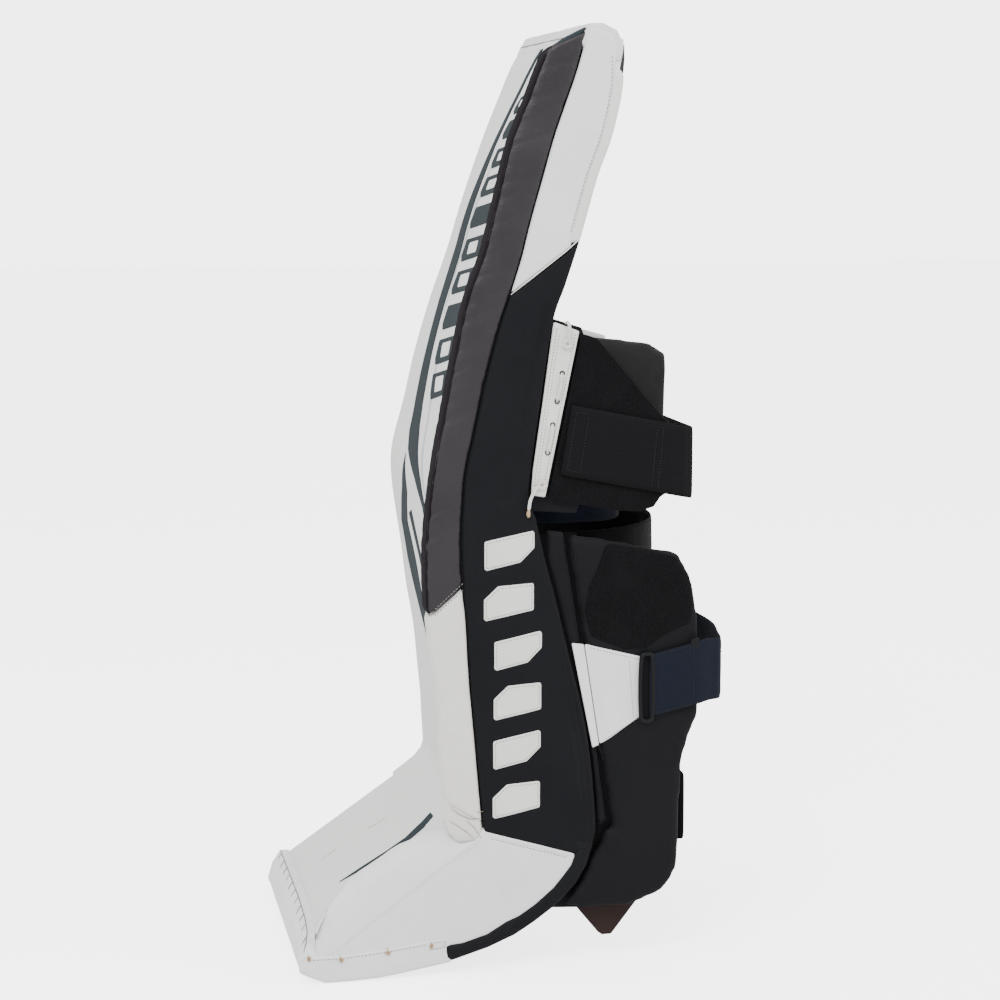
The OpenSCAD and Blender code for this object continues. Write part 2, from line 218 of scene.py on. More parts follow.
def panel(name, outline, sheet, r=3.0, puff=0.0, reach=25.0, pitch=4.0, back=1.0, grooves=(), bumps=None, base=None, edge_step=None, flat_back=False):
    """A padded panel: the outline filled with a fine mesh, its edge rounded over r, its middle raised by puff.
    grooves are (polyline, depth, width); bumps(u, v) adds height; base(u, v) is the surface it lies on."""
    out = resample(outline, edge_step or pitch * 0.7, closed=True)
    lo, hi = out.min(0), out.max(0)
    gx = np.arange(lo[0], hi[0] + pitch, pitch)
    gy = np.arange(lo[1], hi[1] + pitch * 0.866, pitch * 0.866)
    pts = []
    for j, y in enumerate(gy):
        for x in gx + (pitch / 2 if j % 2 else 0):
            pts.append((x, y))
    pts = np.array(pts)
    rings = []
    pts = pts[inside(pts, out)]
    dd = dist_line(pts, out, True)
    for k in (0.10, 0.32, 0.65, 1.0):
        d = r * k
        if d > 0.05:
            rings.append(d)
    # rings of points just inside the edge keep its rounding smooth
    n = len(out)
    nrm = []
    area = 0.5 * np.sum(out[:, 0] * np.roll(out[:, 1], -1) - np.roll(out[:, 0], -1) * out[:, 1])
    s = 1.0 if area > 0 else -1.0
    for i in range(n):
        t = out[(i + 1) % n] - out[i - 1]
        t = t / (np.linalg.norm(t) + 1e-12)
        nrm.append(np.array([-t[1], t[0]]) * s)
    nrm = np.array(nrm)
    extra = []
    for d in rings:
        q = out + nrm * d
        ok = inside(q, out) & (dist_line(q, out, True) > d * 0.93)
        extra.append(q[ok])
    keep = pts[dd > (r * 1.25 if r > 0.4 else pitch * 0.4)]
    allp = np.vstack([out] + extra + [keep])
    edges = [(i, (i + 1) % n) for i in range(n)]
    res = delaunay_2d_cdt([Vector((float(p[0]), float(p[1]))) for p in allp], edges, [list(range(n))], 1, 1e-4)
    v2 = np.array([(p.x, p.y) for p in res[0]])
    tris = [list(f) for f in res[2]]
    d = dist_line(v2, out, True)
    onedge = d < 1e-3
    hh = height(v2[:, 0], v2[:, 1], out, r, puff, reach, grooves, bumps)
    b = base(v2[:, 0], v2[:, 1]) if base is not None else np.zeros(len(v2))
    front = sheet.place(v2[:, 0], v2[:, 1], b + hh)
    hb = -back * np.minimum(hh, r) if not flat_back else -np.full(len(v2), back)
    if flat_back:
        hb = np.where(onedge, 0, hb)
    rear = sheet.place(v2[:, 0], v2[:, 1], b + hb)
    m = len(v2)
    idx = np.arange(m)
    backi = np.where(onedge, idx, -1)
    verts = list(front)
    for i in range(m):
        if backi[i] < 0:
            backi[i] = len(verts)
            verts.append(rear[i])
    faces = [tuple(t) for t in tris] + [tuple(int(backi[i]) for i in reversed(t)) for t in tris]
    o = mesh(name, np.array(verts), faces)
    fn = lambda u, v: (base(np.asarray(u, float), np.asarray(v, float)) if base is not None else 0) + height(
        np.asarray(u, float), np.asarray(v, float), out, r, puff, reach, grooves, bumps)
    o["made"] = "panel"
    return o, Sheet(sheet.place, fn)


def height(u, v, out, r, puff, reach, grooves, bumps):
    q = np.stack([u, v], -1)
    d = dist_line(q, out, True)
    rr = max(r, 0.01)
    h = np.where(d < rr, np.sqrt(np.clip(rr * rr - (rr - d) ** 2, 0, None)), rr)
    h = h + puff * (1 - np.exp(-np.clip(d - rr * 0.3, 0, None) / reach))
    for line, depth, width in grooves:
        dl = dist_line(q, line)
        h = h - depth * np.exp(-(dl / width) ** 2) * np.clip(d / (rr + 0.5), 0, 1)
    if bumps is not None:
        h = h + bumps(u, v) * np.clip(d / (rr + 2.0), 0, 1)
    return h


def loft(name, sections, cap=True):
    """Closed loops of the same count, joined into a skin with rounded ends left to the sections."""
    s = np.array(sections)
    n, m = s.shape[:2]
    verts = list(s.reshape(-1, 3))
    faces = []
    for i in range(n - 1):
        for j in range(m):
            a, b = i * m + j, i * m + (j + 1) % m
            faces.append((a, b, b + m, a + m))
    if cap == "flat":
        faces.append(tuple(range(m))[::-1])
        faces.append(tuple(range((n - 1) * m, n * m)))
    elif cap:
        for row, flip in ((0, True), (n - 1, False)):
            c = len(verts)
            verts.append(s[row].mean(0))
            for j in range(m):
                a, b = row * m + j, row * m + (j + 1) % m
                faces.append((c, b, a) if flip else (c, a, b))
    return mesh(name, np.array(verts), faces)


def tube(name, pts, r, sides=10, taper=False, flat=1.0, up=(1, 0, 0), closed=False):
    """A round (or flattened) bead along 3-D points."""
    p = np.array(pts, float)
    n = len(p)
    secs = []
    upv = np.array(up, float)
    for i in range(n):
        t = (p[(i + 1) % n] - p[i - 1]) if closed else (p[min(i + 1, n - 1)] - p[max(i - 1, 0)])
        t = t / (np.linalg.norm(t) + 1e-12)
        a = upv - t * (upv @ t)
        if np.linalg.norm(a) < 1e-3:
            a = np.array([0, 0, 1.0]) - t * t[2]
        a /= np.linalg.norm(a)
        b = np.cross(t, a)
        ri = r(i / max(n - 1, 1)) if callable(r) else r
        if not closed and not taper:
            k = min(i, n - 1 - i)
            ri *= (0.45, 0.85, 1.0)[min(k, 2)]
        ang = np.linspace(0, 2 * math.pi, sides, endpoint=False)
        secs.append([p[i] + (a * math.cos(w) * flat + b * math.sin(w)) * ri for w in ang])
    if closed:
        secs.append(secs[0])
        s = np.array(secs[:-1])
        m = sides
        verts = list(s.reshape(-1, 3))
        faces = []
        for i in range(n):
            for j in range(m):
                a0, b0 = i * m + j, i * m + (j + 1) % m
                a1, b1 = ((i + 1) % n) * m + j, ((i + 1) % n) * m + (j + 1) % m
                faces.append((a0, b0, b1, a1))
        return mesh(name, np.array(verts), faces)
    return loft(name, secs)


def join(objs, name):
    """Several meshes as one object."""
    objs = [o for o in objs if o is not None]
    bm = bmesh.new()
    for o in objs:
        bm.from_mesh(o.data)
    me = bpy.data.meshes.new(name)
    bm.to_mesh(me)
    bm.free()
    me.polygons.foreach_set("use_smooth", [True] * len(me.polygons))
    for o in objs:
        bpy.data.objects.remove(o)
    return link(me, name)


def stitches(name, line, sheet, spacing=5.0, length=3.4, r=0.45, lift=0.15, closed=False, skip=None):
    """Thread dashes laid along a drawn line on a surface."""
    pts = resample(line, 0.7, closed)
    if closed:
        pts = np.vstack([pts, pts[:1]])
    s = np.r_[0, np.cumsum(np.linalg.norm(np.diff(pts, axis=0), axis=1))]
    k = max(1, int(s[-1] // spacing))
    off = (s[-1] - k * spacing + (spacing - length)) / 2
    mids = np.array([off + i * spacing + length / 2 for i in range(k)])
    mids = np.array([q for q in mids if q + length / 2 <= s[-1] and not (skip and skip(q / s[-1]))])
    if not len(mids):
        return None
    al = np.array([-0.5, -0.42, -0.25, 0.0, 0.25, 0.42, 0.5])
    wd = np.array([0.25, 0.75, 1.0, 1.05, 1.0, 0.75, 0.25])
    sink = np.array([-0.55, -0.15, 0, 0, 0, -0.15, -0.55]) * r
    q = mids[:, None] + al[None] * length
    u, v = np.interp(q, s, pts[:, 0]), np.interp(q, s, pts[:, 1])
    base = sheet.on(u.ravel(), v.ravel(), lift).reshape(len(mids), 7, 3)
    high = sheet.on(u[:, 3], v[:, 3], lift + 1)
    nn = high - base[:, 3]
    nn /= np.linalg.norm(nn, axis=1)[:, None] + 1e-12
    cs = base + nn[:, None] * sink[None, :, None]
    t = cs[:, -1] - cs[:, 0]
    t /= np.linalg.norm(t, axis=1)[:, None] + 1e-12
    bb = np.cross(t, nn)
    m = 6
    verts, faces = [], []
    for i in range(len(mids)):
        ring0 = len(verts)
        for g in range(7):
            for j in range(m):
                an = 2 * math.pi * j / m
                verts.append(cs[i, g] + (nn[i] * math.sin(an) * 0.8 + bb[i] * math.cos(an)) * r * wd[g])
        for g in range(6):
            for j in range(m):
                a0, b0 = ring0 + g * m + j, ring0 + g * m + (j + 1) % m
                faces.append((a0, b0, b0 + m, a0 + m))
        faces.append(tuple(ring0 + j for j in reversed(range(m))))
        faces.append(tuple(ring0 + 6 * m + j for j in range(m)))
    return mesh(name, np.array(verts), faces)


def apply_mods(o):
    dg = bpy.context.evaluated_depsgraph_get()
    me = bpy.data.meshes.new_from_object(o.evaluated_get(dg))
    old = o.data
    o.modifiers.clear()
    o.data = me
    bpy.data.meshes.remove(old)
    me.polygons.foreach_set("use_smooth", [True] * len(me.polygons))


def puffed(o, voxel=4.5, cap=7.0, pressure=4.0, shrink=0.0):
    """Swells a closed padded piece by cloth under pressure; no point moves further than cap (mm)."""
    if shrink:
        bm = bmesh.new()
        bm.from_mesh(o.data)
        bm.normal_update()
        for v in bm.verts:
            v.co -= v.normal * shrink / 1000
        bm.to_mesh(o.data)
        bm.free()
    m = o.modifiers.new("r", "REMESH")
    m.mode = "VOXEL"
    m.voxel_size = voxel / 1000
    apply_mods(o)
    co0 = np.zeros(len(o.data.vertices) * 3)
    o.data.vertices.foreach_get("co", co0)
    c = o.modifiers.new("c", "CLOTH")
    st = c.settings
    st.quality = 5
    st.mass = 0.3
    st.tension_stiffness = 40
    st.compression_stiffness = 20
    st.shear_stiffness = 15
    st.bending_stiffness = 1.5
    st.use_pressure = True
    st.uniform_pressure_force = pressure
    st.effector_weights.gravity = 0
    c.collision_settings.use_self_collision = False
    c.point_cache.frame_start = 1
    c.point_cache.frame_end = 20
    sc = bpy.context.scene
    for f in range(1, 21):
        sc.frame_set(f)
    dg = bpy.context.evaluated_depsgraph_get()
    me = bpy.data.meshes.new_from_object(o.evaluated_get(dg))
    o.modifiers.clear()
    co1 = np.zeros(len(me.vertices) * 3)
    me.vertices.foreach_get("co", co1)
    if len(co1) == len(co0):
        d = (co1 - co0).reshape(-1, 3)
        L = np.linalg.norm(d, axis=1)
        k = np.minimum(1, (cap / 1000) / np.maximum(L, 1e-9))
        o.data.vertices.foreach_set("co", (co0.reshape(-1, 3) + d * k[:, None]).ravel())
    bpy.data.meshes.remove(me)
    sc.frame_set(1)
    s = o.modifiers.new("s", "SUBSURF")
    s.levels = 1
    s.render_levels = 1
    apply_mods(o)
    return o


# ------------------------------------------------------------------ materials
def nodes_of(m):
    m.use_nodes = True
    nt = m.node_tree
    nt.nodes.clear()
    out = nt.nodes.new("ShaderNodeOutputMaterial")
    bs = nt.nodes.new("ShaderNodeBsdfPrincipled")
    nt.links.new(bs.outputs[0], out.inputs[0])
    return nt, bs


class Mat:
    """A node material in object space (metres), built up step by step."""

    def __init__(self, name):
        self.m = bpy.data.materials.new(name)
        self.nt, self.bs = nodes_of(self.m)
        self.co = self.nt.nodes.new("ShaderNodeTexCoord").outputs["Object"]

    def n(self, kind, **kw):
        x = self.nt.nodes.new(kind)
        for k, v in kw.items():
            setattr(x, k, v)
        return x

    def link(self, a, b):
        self.nt.links.new(a, b)

    def math(self, op, a, b=None, c=None, clamp=False):
        x = self.n("ShaderNodeMath", operation=op, use_clamp=clamp)
        for i, v in enumerate((a, b, c)):
            if v is None:
                continue
            if isinstance(v, (int, float)):
                x.inputs[i].default_value = v
            else:
                self.link(v, x.inputs[i])
        return x.outputs[0]

    def noise(self, mm, detail=3.0, rough=0.55, vec=None):
        x = self.n("ShaderNodeTexNoise")
        x.inputs["Scale"].default_value = 1000.0 / mm
        x.inputs["Detail"].default_value = detail
        x.inputs["Roughness"].default_value = rough
        self.link(vec or self.co, x.inputs["Vector"])
        return x.outputs["Fac"]

    def voronoi(self, mm, feature="F1", vec=None, rand=1.0):
        x = self.n("ShaderNodeTexVoronoi", feature=feature)
        x.inputs["Scale"].default_value = 1000.0 / mm
        x.inputs["Randomness"].default_value = rand
        self.link(vec or self.co, x.inputs["Vector"])
        return x.outputs["Distance"]

    def stretch(self, sx, sy, sz, rot=(0, 0, 0)):
        x = self.n("ShaderNodeMapping")
        x.inputs["Scale"].default_value = (sx, sy, sz)
        x.inputs["Rotation"].default_value = rot
        self.link(self.co, x.inputs["Vector"])
        return x.outputs[0]

    def ramp(self, fac, stops):
        x = self.n("ShaderNodeValToRGB")
        el = x.color_ramp.elements
        while len(el) < len(stops):
            el.new(0.5)
        for e, (p, c) in zip(el, stops):
            e.position = p
            e.color = (*c, 1) if len(c) == 3 else c
        self.link(fac, x.inputs[0])
        return x.outputs[0]

    def range(self, fac, lo, hi, a, b):
        x = self.n("ShaderNodeMapRange")
        for i, v in enumerate((lo, hi, a, b)):
            x.inputs[i + 1].default_value = v
        self.link(fac, x.inputs[0])
        return x.outputs[0]

    def mix(self, fac, a, b, mode="MIX"):
        x = self.n("ShaderNodeMix", data_type="RGBA", blend_type=mode)
        for i, v in ((0, fac), (6, a), (7, b)):
            if isinstance(v, (int, float)):
                x.inputs[i].default_value = v
            elif isinstance(v, tuple):
                x.inputs[i].default_value = (*v, 1)
            else:
                self.link(v, x.inputs[i])
        return x.outputs[2]

    def bump(self, *layers):
        """layers: (height socket, distance mm, strength), coarsest first."""
        prev = None
        for h, mm, st in layers:
            x = self.n("ShaderNodeBump")
            x.inputs["Strength"].default_value = st
            x.inputs["Distance"].default_value = mm / 1000
            self.link(h, x.inputs["Height"])
            if prev is not None:
                self.link(prev, x.inputs["Normal"])
            prev = x.outputs[0]
        self.link(prev, self.bs.inputs["Normal"])

    def put(self, **kw):
        names = {"color": "Base Color", "rough": "Roughness", "metal": "Metallic", "spec": "Specular IOR Level", "sheen": "Sheen Weight",
                 "sheen_rough": "Sheen Roughness", "coat": "Coat Weight", "coat_rough": "Coat Roughness", "sheen_tint": "Sheen Tint"}
        for k, v in kw.items():
            s = self.bs.inputs[names[k]]
            if isinstance(v, (int, float)):
                s.default_value = v
            elif isinstance(v, tuple):
                s.default_value = (*v, 1)
            else:
                self.link(v, s)
        return self


def mul(c, k):
    return tuple(min(1.0, x * k) for x in c)


def leather(name, col, rough=0.42, grain_mm=0.9, grain=0.25, wrinkle=0.3, tone=0.06, wrinkle_mm=14.0, spec=0.45, scuff=0.06, scuff_col=None, dirt=0.05):
    """Coated leather: pebbled grain, faint creases, uneven sheen, and rubbed patches."""
    m = Mat(name)
    cells = m.voronoi(grain_mm, "DISTANCE_TO_EDGE")
    pebble = m.range(cells, 0.0, 0.35, 0.0, 1.0)
    fine = m.noise(0.45, 2)
    soft = m.noise(wrinkle_mm, 4, 0.6)
    crease = m.noise(6.0, 3, 0.5, m.stretch(1, 1, 2.6))
    broad = m.noise(60, 2)
    a = m.mix(m.range(broad, 0.3, 0.7, 0.0, 1.0), mul(col, 1 - tone), mul(col, 1 + tone * 0.6))
    valley = m.math("MULTIPLY", m.math("SUBTRACT", 1.0, pebble), 0.5 * (grain > 0.1) * 0.35)
    a = m.mix(valley, a, mul(col, 0.72))
    rub = m.range(m.noise(22, 5, 0.7), 0.62, 0.75, 0.0, scuff)
    a = m.mix(rub, a, scuff_col or mul(col, 0.8))
    grime = m.range(m.noise(90, 4, 0.6, m.stretch(1, 1, 0.7)), 0.5, 0.85, 0.0, dirt)
    a = m.mix(grime, a, mul(col, 0.86))
    m.put(color=a, spec=spec)
    m.put(rough=m.range(m.math("ADD", m.math("MULTIPLY", broad, 0.5), m.math("MULTIPLY", fine, 0.5)), 0.3, 0.7, rough - 0.05, rough + 0.09))
    m.bump((soft, 1.6, wrinkle * 0.5), (crease, 0.5, wrinkle * 0.5), (pebble, 0.12, grain), (fine, 0.05, 0.3))
    return m.m


def nylon(name, col, weave_mm=0.75, rough=0.62, strength=0.5, sheen=0.12, axis="YZ", spec=0.35, tone=0.16):
    """Plain weave: two crossed sets of threads, with a soft sheen and slight creasing."""
    m = Mat(name)
    sep = m.n("ShaderNodeSeparateXYZ")
    m.link(m.co, sep.inputs[0])
    g = {"X": sep.outputs[0], "Y": sep.outputs[1], "Z": sep.outputs[2]}
    k = 2 * math.pi * 1000 / weave_mm
    diag = m.math("ADD", g["X"], g[axis[0]]) if axis[0] != "X" else m.math("ADD", g["X"], m.math("MULTIPLY", g["Y"], 0.7))
    a = m.math("SINE", m.math("MULTIPLY", diag, k))
    b = m.math("SINE", m.math("MULTIPLY", g[axis[1]], k))
    over = m.math("MULTIPLY", a, b)
    th = m.math("MAXIMUM", m.math("ABSOLUTE", a), m.math("ABSOLUTE", b))
    w = m.math("ADD", m.math("MULTIPLY", over, 0.5), m.math("MULTIPLY", th, 0.5))
    slub = m.noise(5.0, 3, 0.6, m.stretch(1, 1, 5))
    slub2 = m.noise(5.0, 3, 0.6, m.stretch(1, 6, 1))
    broad = m.noise(70, 3)
    c = m.mix(m.range(w, -0.4, 1.0, 0.0, 1.0), mul(col, 1 - tone * 1.6), mul(col, 1 + tone))
    c = m.mix(m.range(m.math("ADD", slub, slub2), 0.8, 1.3, 0.0, 0.35), c, mul(col, 1.35))
    c = m.mix(m.range(broad, 0.35, 0.75, 0.0, 0.3), c, mul(col, 0.8))
    lint = m.range(m.noise(1.6, 4, 0.7), 0.70, 0.78, 0.0, 0.12)
    c = m.mix(lint, c, mul(col, 2.6))
    m.put(color=c, spec=spec, sheen=sheen, sheen_rough=0.4)
    m.put(rough=m.range(broad, 0.3, 0.7, rough - 0.06, rough + 0.08))
    m.bump((m.noise(18, 3, 0.55), 1.2, 0.25), (w, 0.10, strength))
    return m.m


def webbing(name, col, rib_mm=1.5, rough=0.7, along="Z", strength=0.8, sheen=0.15, spec=0.25):
    """Woven elastic: ribs across the width, fine threads between, slightly furred."""
    m = Mat(name)
    sep = m.n("ShaderNodeSeparateXYZ")
    m.link(m.co, sep.inputs[0])
    gx = m.math("ADD", sep.outputs[0], sep.outputs[1])
    rib = m.math("SINE", m.math("MULTIPLY", gx if along == "Y" else sep.outputs[2], 2 * math.pi * 1000 / rib_mm))
    thr = m.math("SINE", m.math("MULTIPLY", sep.outputs[2] if along == "Y" else gx, 2 * math.pi * 1000 / (rib_mm * 0.55)))
    h = m.math("ADD", m.math("MULTIPLY", rib, 0.65), m.math("MULTIPLY", thr, 0.35))
    fuzz = m.noise(0.7, 3, 0.7)
    broad = m.noise(45, 3)
    c = m.mix(m.range(h, -0.8, 0.9, 0.0, 1.0), mul(col, 0.66), mul(col, 1.16))
    c = m.mix(m.range(fuzz, 0.55, 0.8, 0.0, 0.3), c, mul(col, 1.6))
    c = m.mix(m.range(broad, 0.4, 0.75, 0.0, 0.25), c, mul(col, 0.8))
    m.put(color=c, spec=spec, sheen=sheen, sheen_rough=0.5)
    m.put(rough=m.range(fuzz, 0.3, 0.7, rough - 0.05, rough + 0.12))
    m.bump((m.noise(14, 2), 0.8, 0.2), (h, 0.22, strength), (fuzz, 0.08, 0.4))
    return m.m


def pile(name, col):
    """Brushed loop pile: matted tufts with lighter tips."""
    m = Mat(name)
    tuft = m.noise(2.2, 4, 0.75)
    curl = m.voronoi(1.1)
    broad = m.noise(26, 3)
    h = m.math("ADD", m.math("MULTIPLY", tuft, 0.7), m.math("MULTIPLY", curl, 0.5))
    c = m.mix(m.range(h, 0.35, 0.85, 0.0, 1.0), mul(col, 0.45), mul(col, 1.35))
    c = m.mix(m.range(broad, 0.45, 0.7, 0.0, 0.35), c, mul(col, 1.5))
    c = m.mix(m.range(m.noise(0.9, 4, 0.8), 0.66, 0.74, 0.0, 0.25), c, mul(col, 3.2))
    m.put(color=c, rough=0.95, spec=0.03, sheen=0.02, sheen_rough=0.6)
    m.bump((tuft, 1.4, 0.8), (curl, 0.5, 0.7))
    return m.m


def plastic(name, col, rough=0.35):
    m = Mat(name)
    fine = m.noise(0.5, 3, 0.6)
    broad = m.noise(18, 4)
    c = m.mix(m.range(broad, 0.4, 0.7, 0.0, 0.4), mul(col, 0.85), mul(col, 1.2))
    c = m.mix(m.range(m.noise(2.4, 5, 0.7, m.stretch(1, 4, 1)), 0.64, 0.72, 0.0, 0.3), c, mul(col, 2.0))
    m.put(color=c, spec=0.14)
    m.put(rough=m.range(fine, 0.3, 0.7, rough - 0.06, rough + 0.1))
    m.bump((fine, 0.04, 0.5))
    return m.m


def cordage(name, col, twist_mm=1.4):
    """Waxed braided lace."""
    m = Mat(name)
    sep = m.n("ShaderNodeSeparateXYZ")
    m.link(m.co, sep.inputs[0])
    a = m.math("ADD", sep.outputs[1], sep.outputs[2])
    b = m.math("SUBTRACT", sep.outputs[1], sep.outputs[2])
    k = 2 * math.pi * 1000 / twist_mm
    h = m.math("MULTIPLY", m.math("SINE", m.math("MULTIPLY", a, k)), m.math("SINE", m.math("MULTIPLY", b, k)))
    c = m.mix(m.range(h, -0.8, 0.8, 0.0, 1.0), mul(col, 0.80), mul(col, 1.05))
    c = m.mix(m.range(m.noise(7, 3), 0.5, 0.8, 0.0, 0.3), c, mul(col, 0.75))
    m.put(color=c, rough=0.6, spec=0.3)
    m.bump((h, 0.18, 0.7), (m.noise(0.6, 3), 0.06, 0.4))
    return m.m


def foam(name, col):
    m = Mat(name)
    cell = m.voronoi(1.3, "F1")
    c = m.mix(m.range(cell, 0.1, 0.6, 0.0, 1.0), mul(col, 0.7), mul(col, 1.05))
    c = m.mix(m.range(m.noise(40, 3), 0.4, 0.7, 0, 0.3), c, mul(col, 0.85))
    m.put(color=c, rough=0.85, spec=0.2)
    m.bump((cell, 0.4, 0.6))
    return m.m


def quilted(name, col):
    """Spacer-mesh lining: a grid of small holes over a soft base."""
    m = Mat(name)
    hole = m.voronoi(2.4, "F1", rand=0.15)
    d = m.range(hole, 0.18, 0.42, 0.0, 1.0)
    c = m.mix(d, mul(col, 0.35), col)
    c = m.mix(m.range(m.noise(30, 3), 0.45, 0.7, 0, 0.35), c, mul(col, 1.4))
    m.put(color=c, rough=0.85, spec=0.2, sheen=0.15, sheen_rough=0.5)
    m.bump((m.noise(12, 3), 1.0, 0.3), (d, 0.4, 0.7), (m.noise(0.6, 2), 0.1, 0.4))
    return m.m


M = {
    # the face's white leather is set darker than side_white, as the face is turned away from the light: painted shade
    "face_white_painted_shade": leather("face_white_painted_shade", (0.60, 0.60, 0.59), rough=0.55, spec=0.22, grain=0.06, wrinkle=0.12, grain_mm=0.8, tone=0.025, scuff=0.035),
    "side_white": leather("side_white", (0.68, 0.68, 0.695), rough=0.48, spec=0.3, grain=0.14, wrinkle=0.8, grain_mm=0.9, tone=0.03, wrinkle_mm=16, scuff=0.04),
    "cream": leather("cream", (0.63, 0.62, 0.585), rough=0.42, grain=0.14, wrinkle=0.3, tone=0.035),
    "patch": leather("patch", (0.62, 0.62, 0.60), rough=0.5, grain=0.22, wrinkle=0.35, tone=0.05, grain_mm=0.7, wrinkle_mm=7),
    # the dark roll leather made darker for the roll's side towards the face: painted shade
    "roll_front": leather("roll_front", (0.0105, 0.0082, 0.0105), rough=0.78, grain=0.5, wrinkle=0.7, tone=0.25, grain_mm=0.8, wrinkle_mm=10, spec=0.03, scuff=0.1, scuff_col=(0.020, 0.016, 0.018)),
    "dark_roll": leather("dark_roll", (0.0165, 0.0135, 0.0165), rough=0.42, grain=0.5, wrinkle=0.7, tone=0.25, grain_mm=0.8, wrinkle_mm=10, spec=0.28, scuff=0.18, scuff_col=(0.035, 0.029, 0.03)),
    "black_leather": leather("black_leather", (0.0055, 0.0055, 0.006), rough=0.5, grain=0.4, wrinkle=0.5, tone=0.2, spec=0.14, scuff=0.15, scuff_col=(0.014, 0.014, 0.015)),
    "brown_leather": leather("brown_leather", (0.018, 0.009, 0.0075), rough=0.6, grain=0.5, wrinkle=0.6, tone=0.25, spec=0.15, scuff=0.2, scuff_col=(0.04, 0.022, 0.017)),
    "graphic": leather("graphic", (0.020, 0.027, 0.031), rough=0.7, grain=0.06, wrinkle=0.12, tone=0.06, spec=0.06, scuff=0.08, scuff_col=(0.05, 0.06, 0.065)),
    "graphic_light": leather("graphic_light", (0.34, 0.36, 0.37), rough=0.38, grain=0.06, wrinkle=0.12, tone=0.05),
    "nylon": nylon("nylon", (0.0048, 0.0050, 0.0063), spec=0.09, sheen=0.02),
    "nylon_fold": nylon("nylon_fold", (0.0049, 0.0051, 0.0064), spec=0.10, rough=0.58, sheen=0.02, strength=0.25),
    "nylon_wing": nylon("nylon_wing", (0.0056, 0.0056, 0.0068), weave_mm=0.7, rough=0.6, spec=0.08, sheen=0.02),
    "elastic": webbing("elastic", (0.0052, 0.0052, 0.006), along="Z", sheen=0.02, spec=0.06),
    "navy": webbing("navy", (0.0058, 0.0082, 0.0155), rib_mm=1.2, along="Z", sheen=0.025, spec=0.08),
    "pile": pile("pile", (0.0046, 0.0046, 0.0052)),
    "plastic": plastic("plastic", (0.004, 0.0043, 0.0052), 0.42),
    "lace": cordage("lace", (0.66, 0.64, 0.60)),
    "tan": cordage("tan", (0.42, 0.30, 0.17)),
    "thread_white": cordage("thread_white", (0.70, 0.69, 0.66), 0.6),
    "thread_grey": cordage("thread_grey", (0.24, 0.24, 0.235), 0.6),
    "thread_black": cordage("thread_black", (0.010, 0.010, 0.011), 0.6),
    "thread_tan": cordage("thread_tan", (0.40, 0.33, 0.23), 0.6),
    "foam": foam("foam", (0.60, 0.60, 0.58)),
    "mesh": quilted("mesh", (0.014, 0.0145, 0.016)),
}


PIECES = []


def paint(o, mat, body, slot=None):
    """Gives a piece its material, and lists it with its body and slot."""
    o.data.materials.clear()
    o.data.materials.append(M[mat])
    PIECES.append((o, body, slot))
    return o


# ------------------------------------------------------------------ the pad's lines, millimetres [depth, height]
FACE = [[3, 152], [0, 193], [-4, 235], [-8, 277], [-15, 319], [-20, 360], [-26, 401], [-29, 422], [-30, 442], [-27, 465],
        [-17, 502], [-5, 552], [10, 602], [28, 652], [43, 701], [63, 757], [80, 799], [94, 832], [106, 852]]
ROLL_F = [[-20, 162], [-22, 169], [-26, 212], [-27, 258], [-33, 296], [-38, 334.5], [-40, 351], [-40, 396], [-36, 441], [-29, 486],
          [-21, 530], [-12, 574], [-2, 618], [14, 662], [25, 706], [38, 758], [52, 792], [66, 828], [74, 838]]
ROLL_B = [[12, 139], [9, 173], [5, 220], [0, 276], [-3, 331], [-6, 361], [-7.5, 404], [-5.5, 440], [-3, 467], [3, 494],
          [9, 521], [17, 556], [28, 596], [37, 622], [47, 653], [56, 688], [66, 723], [76, 758], [85, 784], [97, 818], [107, 854]]
SIDE_B = [[113, 108], [118, 129], [117, 157], [112, 205], [103, 252], [91, 300], [80, 346], [70, 383], [61, 420], [54, 438],
          [56, 466], [65, 528], [76, 598], [87, 630], [100, 670], [115, 723], [129, 762], [138, 803], [139, 838]]
CORE_B = [[50, 134], [50, 235], [48, 300], [46, 360], [46, 400], [49, 438], [51, 466], [60, 528], [71, 598], [82, 630],
          [95, 670], [110, 723], [124, 762], [133, 803], [134, 838]]
HW = 138.0


def depth(curve, z):
    c = np.array(curve, float)
    return np.interp(z, c[:, 1], c[:, 0])


def smooth_curve(curve, step=6.0):
    return spline(curve, step).tolist()


FACE_S, SIDE_S, CORE_S = smooth_curve(FACE), smooth_curve(SIDE_B), smooth_curve(CORE_B)


def ysheet(curve, sign):
    """A surface that runs across the pad: drawn in (X, Z), lying at the curve's depth; sign -1 faces forward, +1 back."""
    def place(u, v, h):
        y = depth(curve, v)
        dy = (depth(curve, v + 4) - depth(curve, v - 4)) / 8
        k = np.sqrt(1 + dy * dy)
        return np.stack([u, y + sign * h / k, v - sign * h * dy / k], -1)
    return Sheet(place)


def part_of(curve, z0, z1, shift=0.0, step=None):
    """The run of a curve between two heights, as [depth, height] points."""
    c = [p for p in curve if z0 < p[1] < z1]
    c = [[float(depth(curve, z0)), z0]] + [list(p) for p in c] + [[float(depth(curve, z1)), z1]]
    return [[p[0] + shift, p[1]] for p in c]


def rect_sections(rows, n=44, power=4.0, wob=None):
    """rows of (centre, half-width vector a, half-depth vector b): closed superellipse loops."""
    th = np.linspace(0, 2 * math.pi, n, endpoint=False) + 0.01
    c, s = np.cos(th), np.sin(th)
    e = 2.0 / power
    cx, sy = np.sign(c) * np.abs(c) ** e, np.sign(s) * np.abs(s) ** e
    out = []
    for i, (o, a, b, k) in enumerate(rows):
        loop = o[None] + (cx[:, None] * a[None] + sy[:, None] * b[None]) * k
        if wob is not None:
            loop = loop + wob(i, loop, o)
        out.append(loop)
    return out


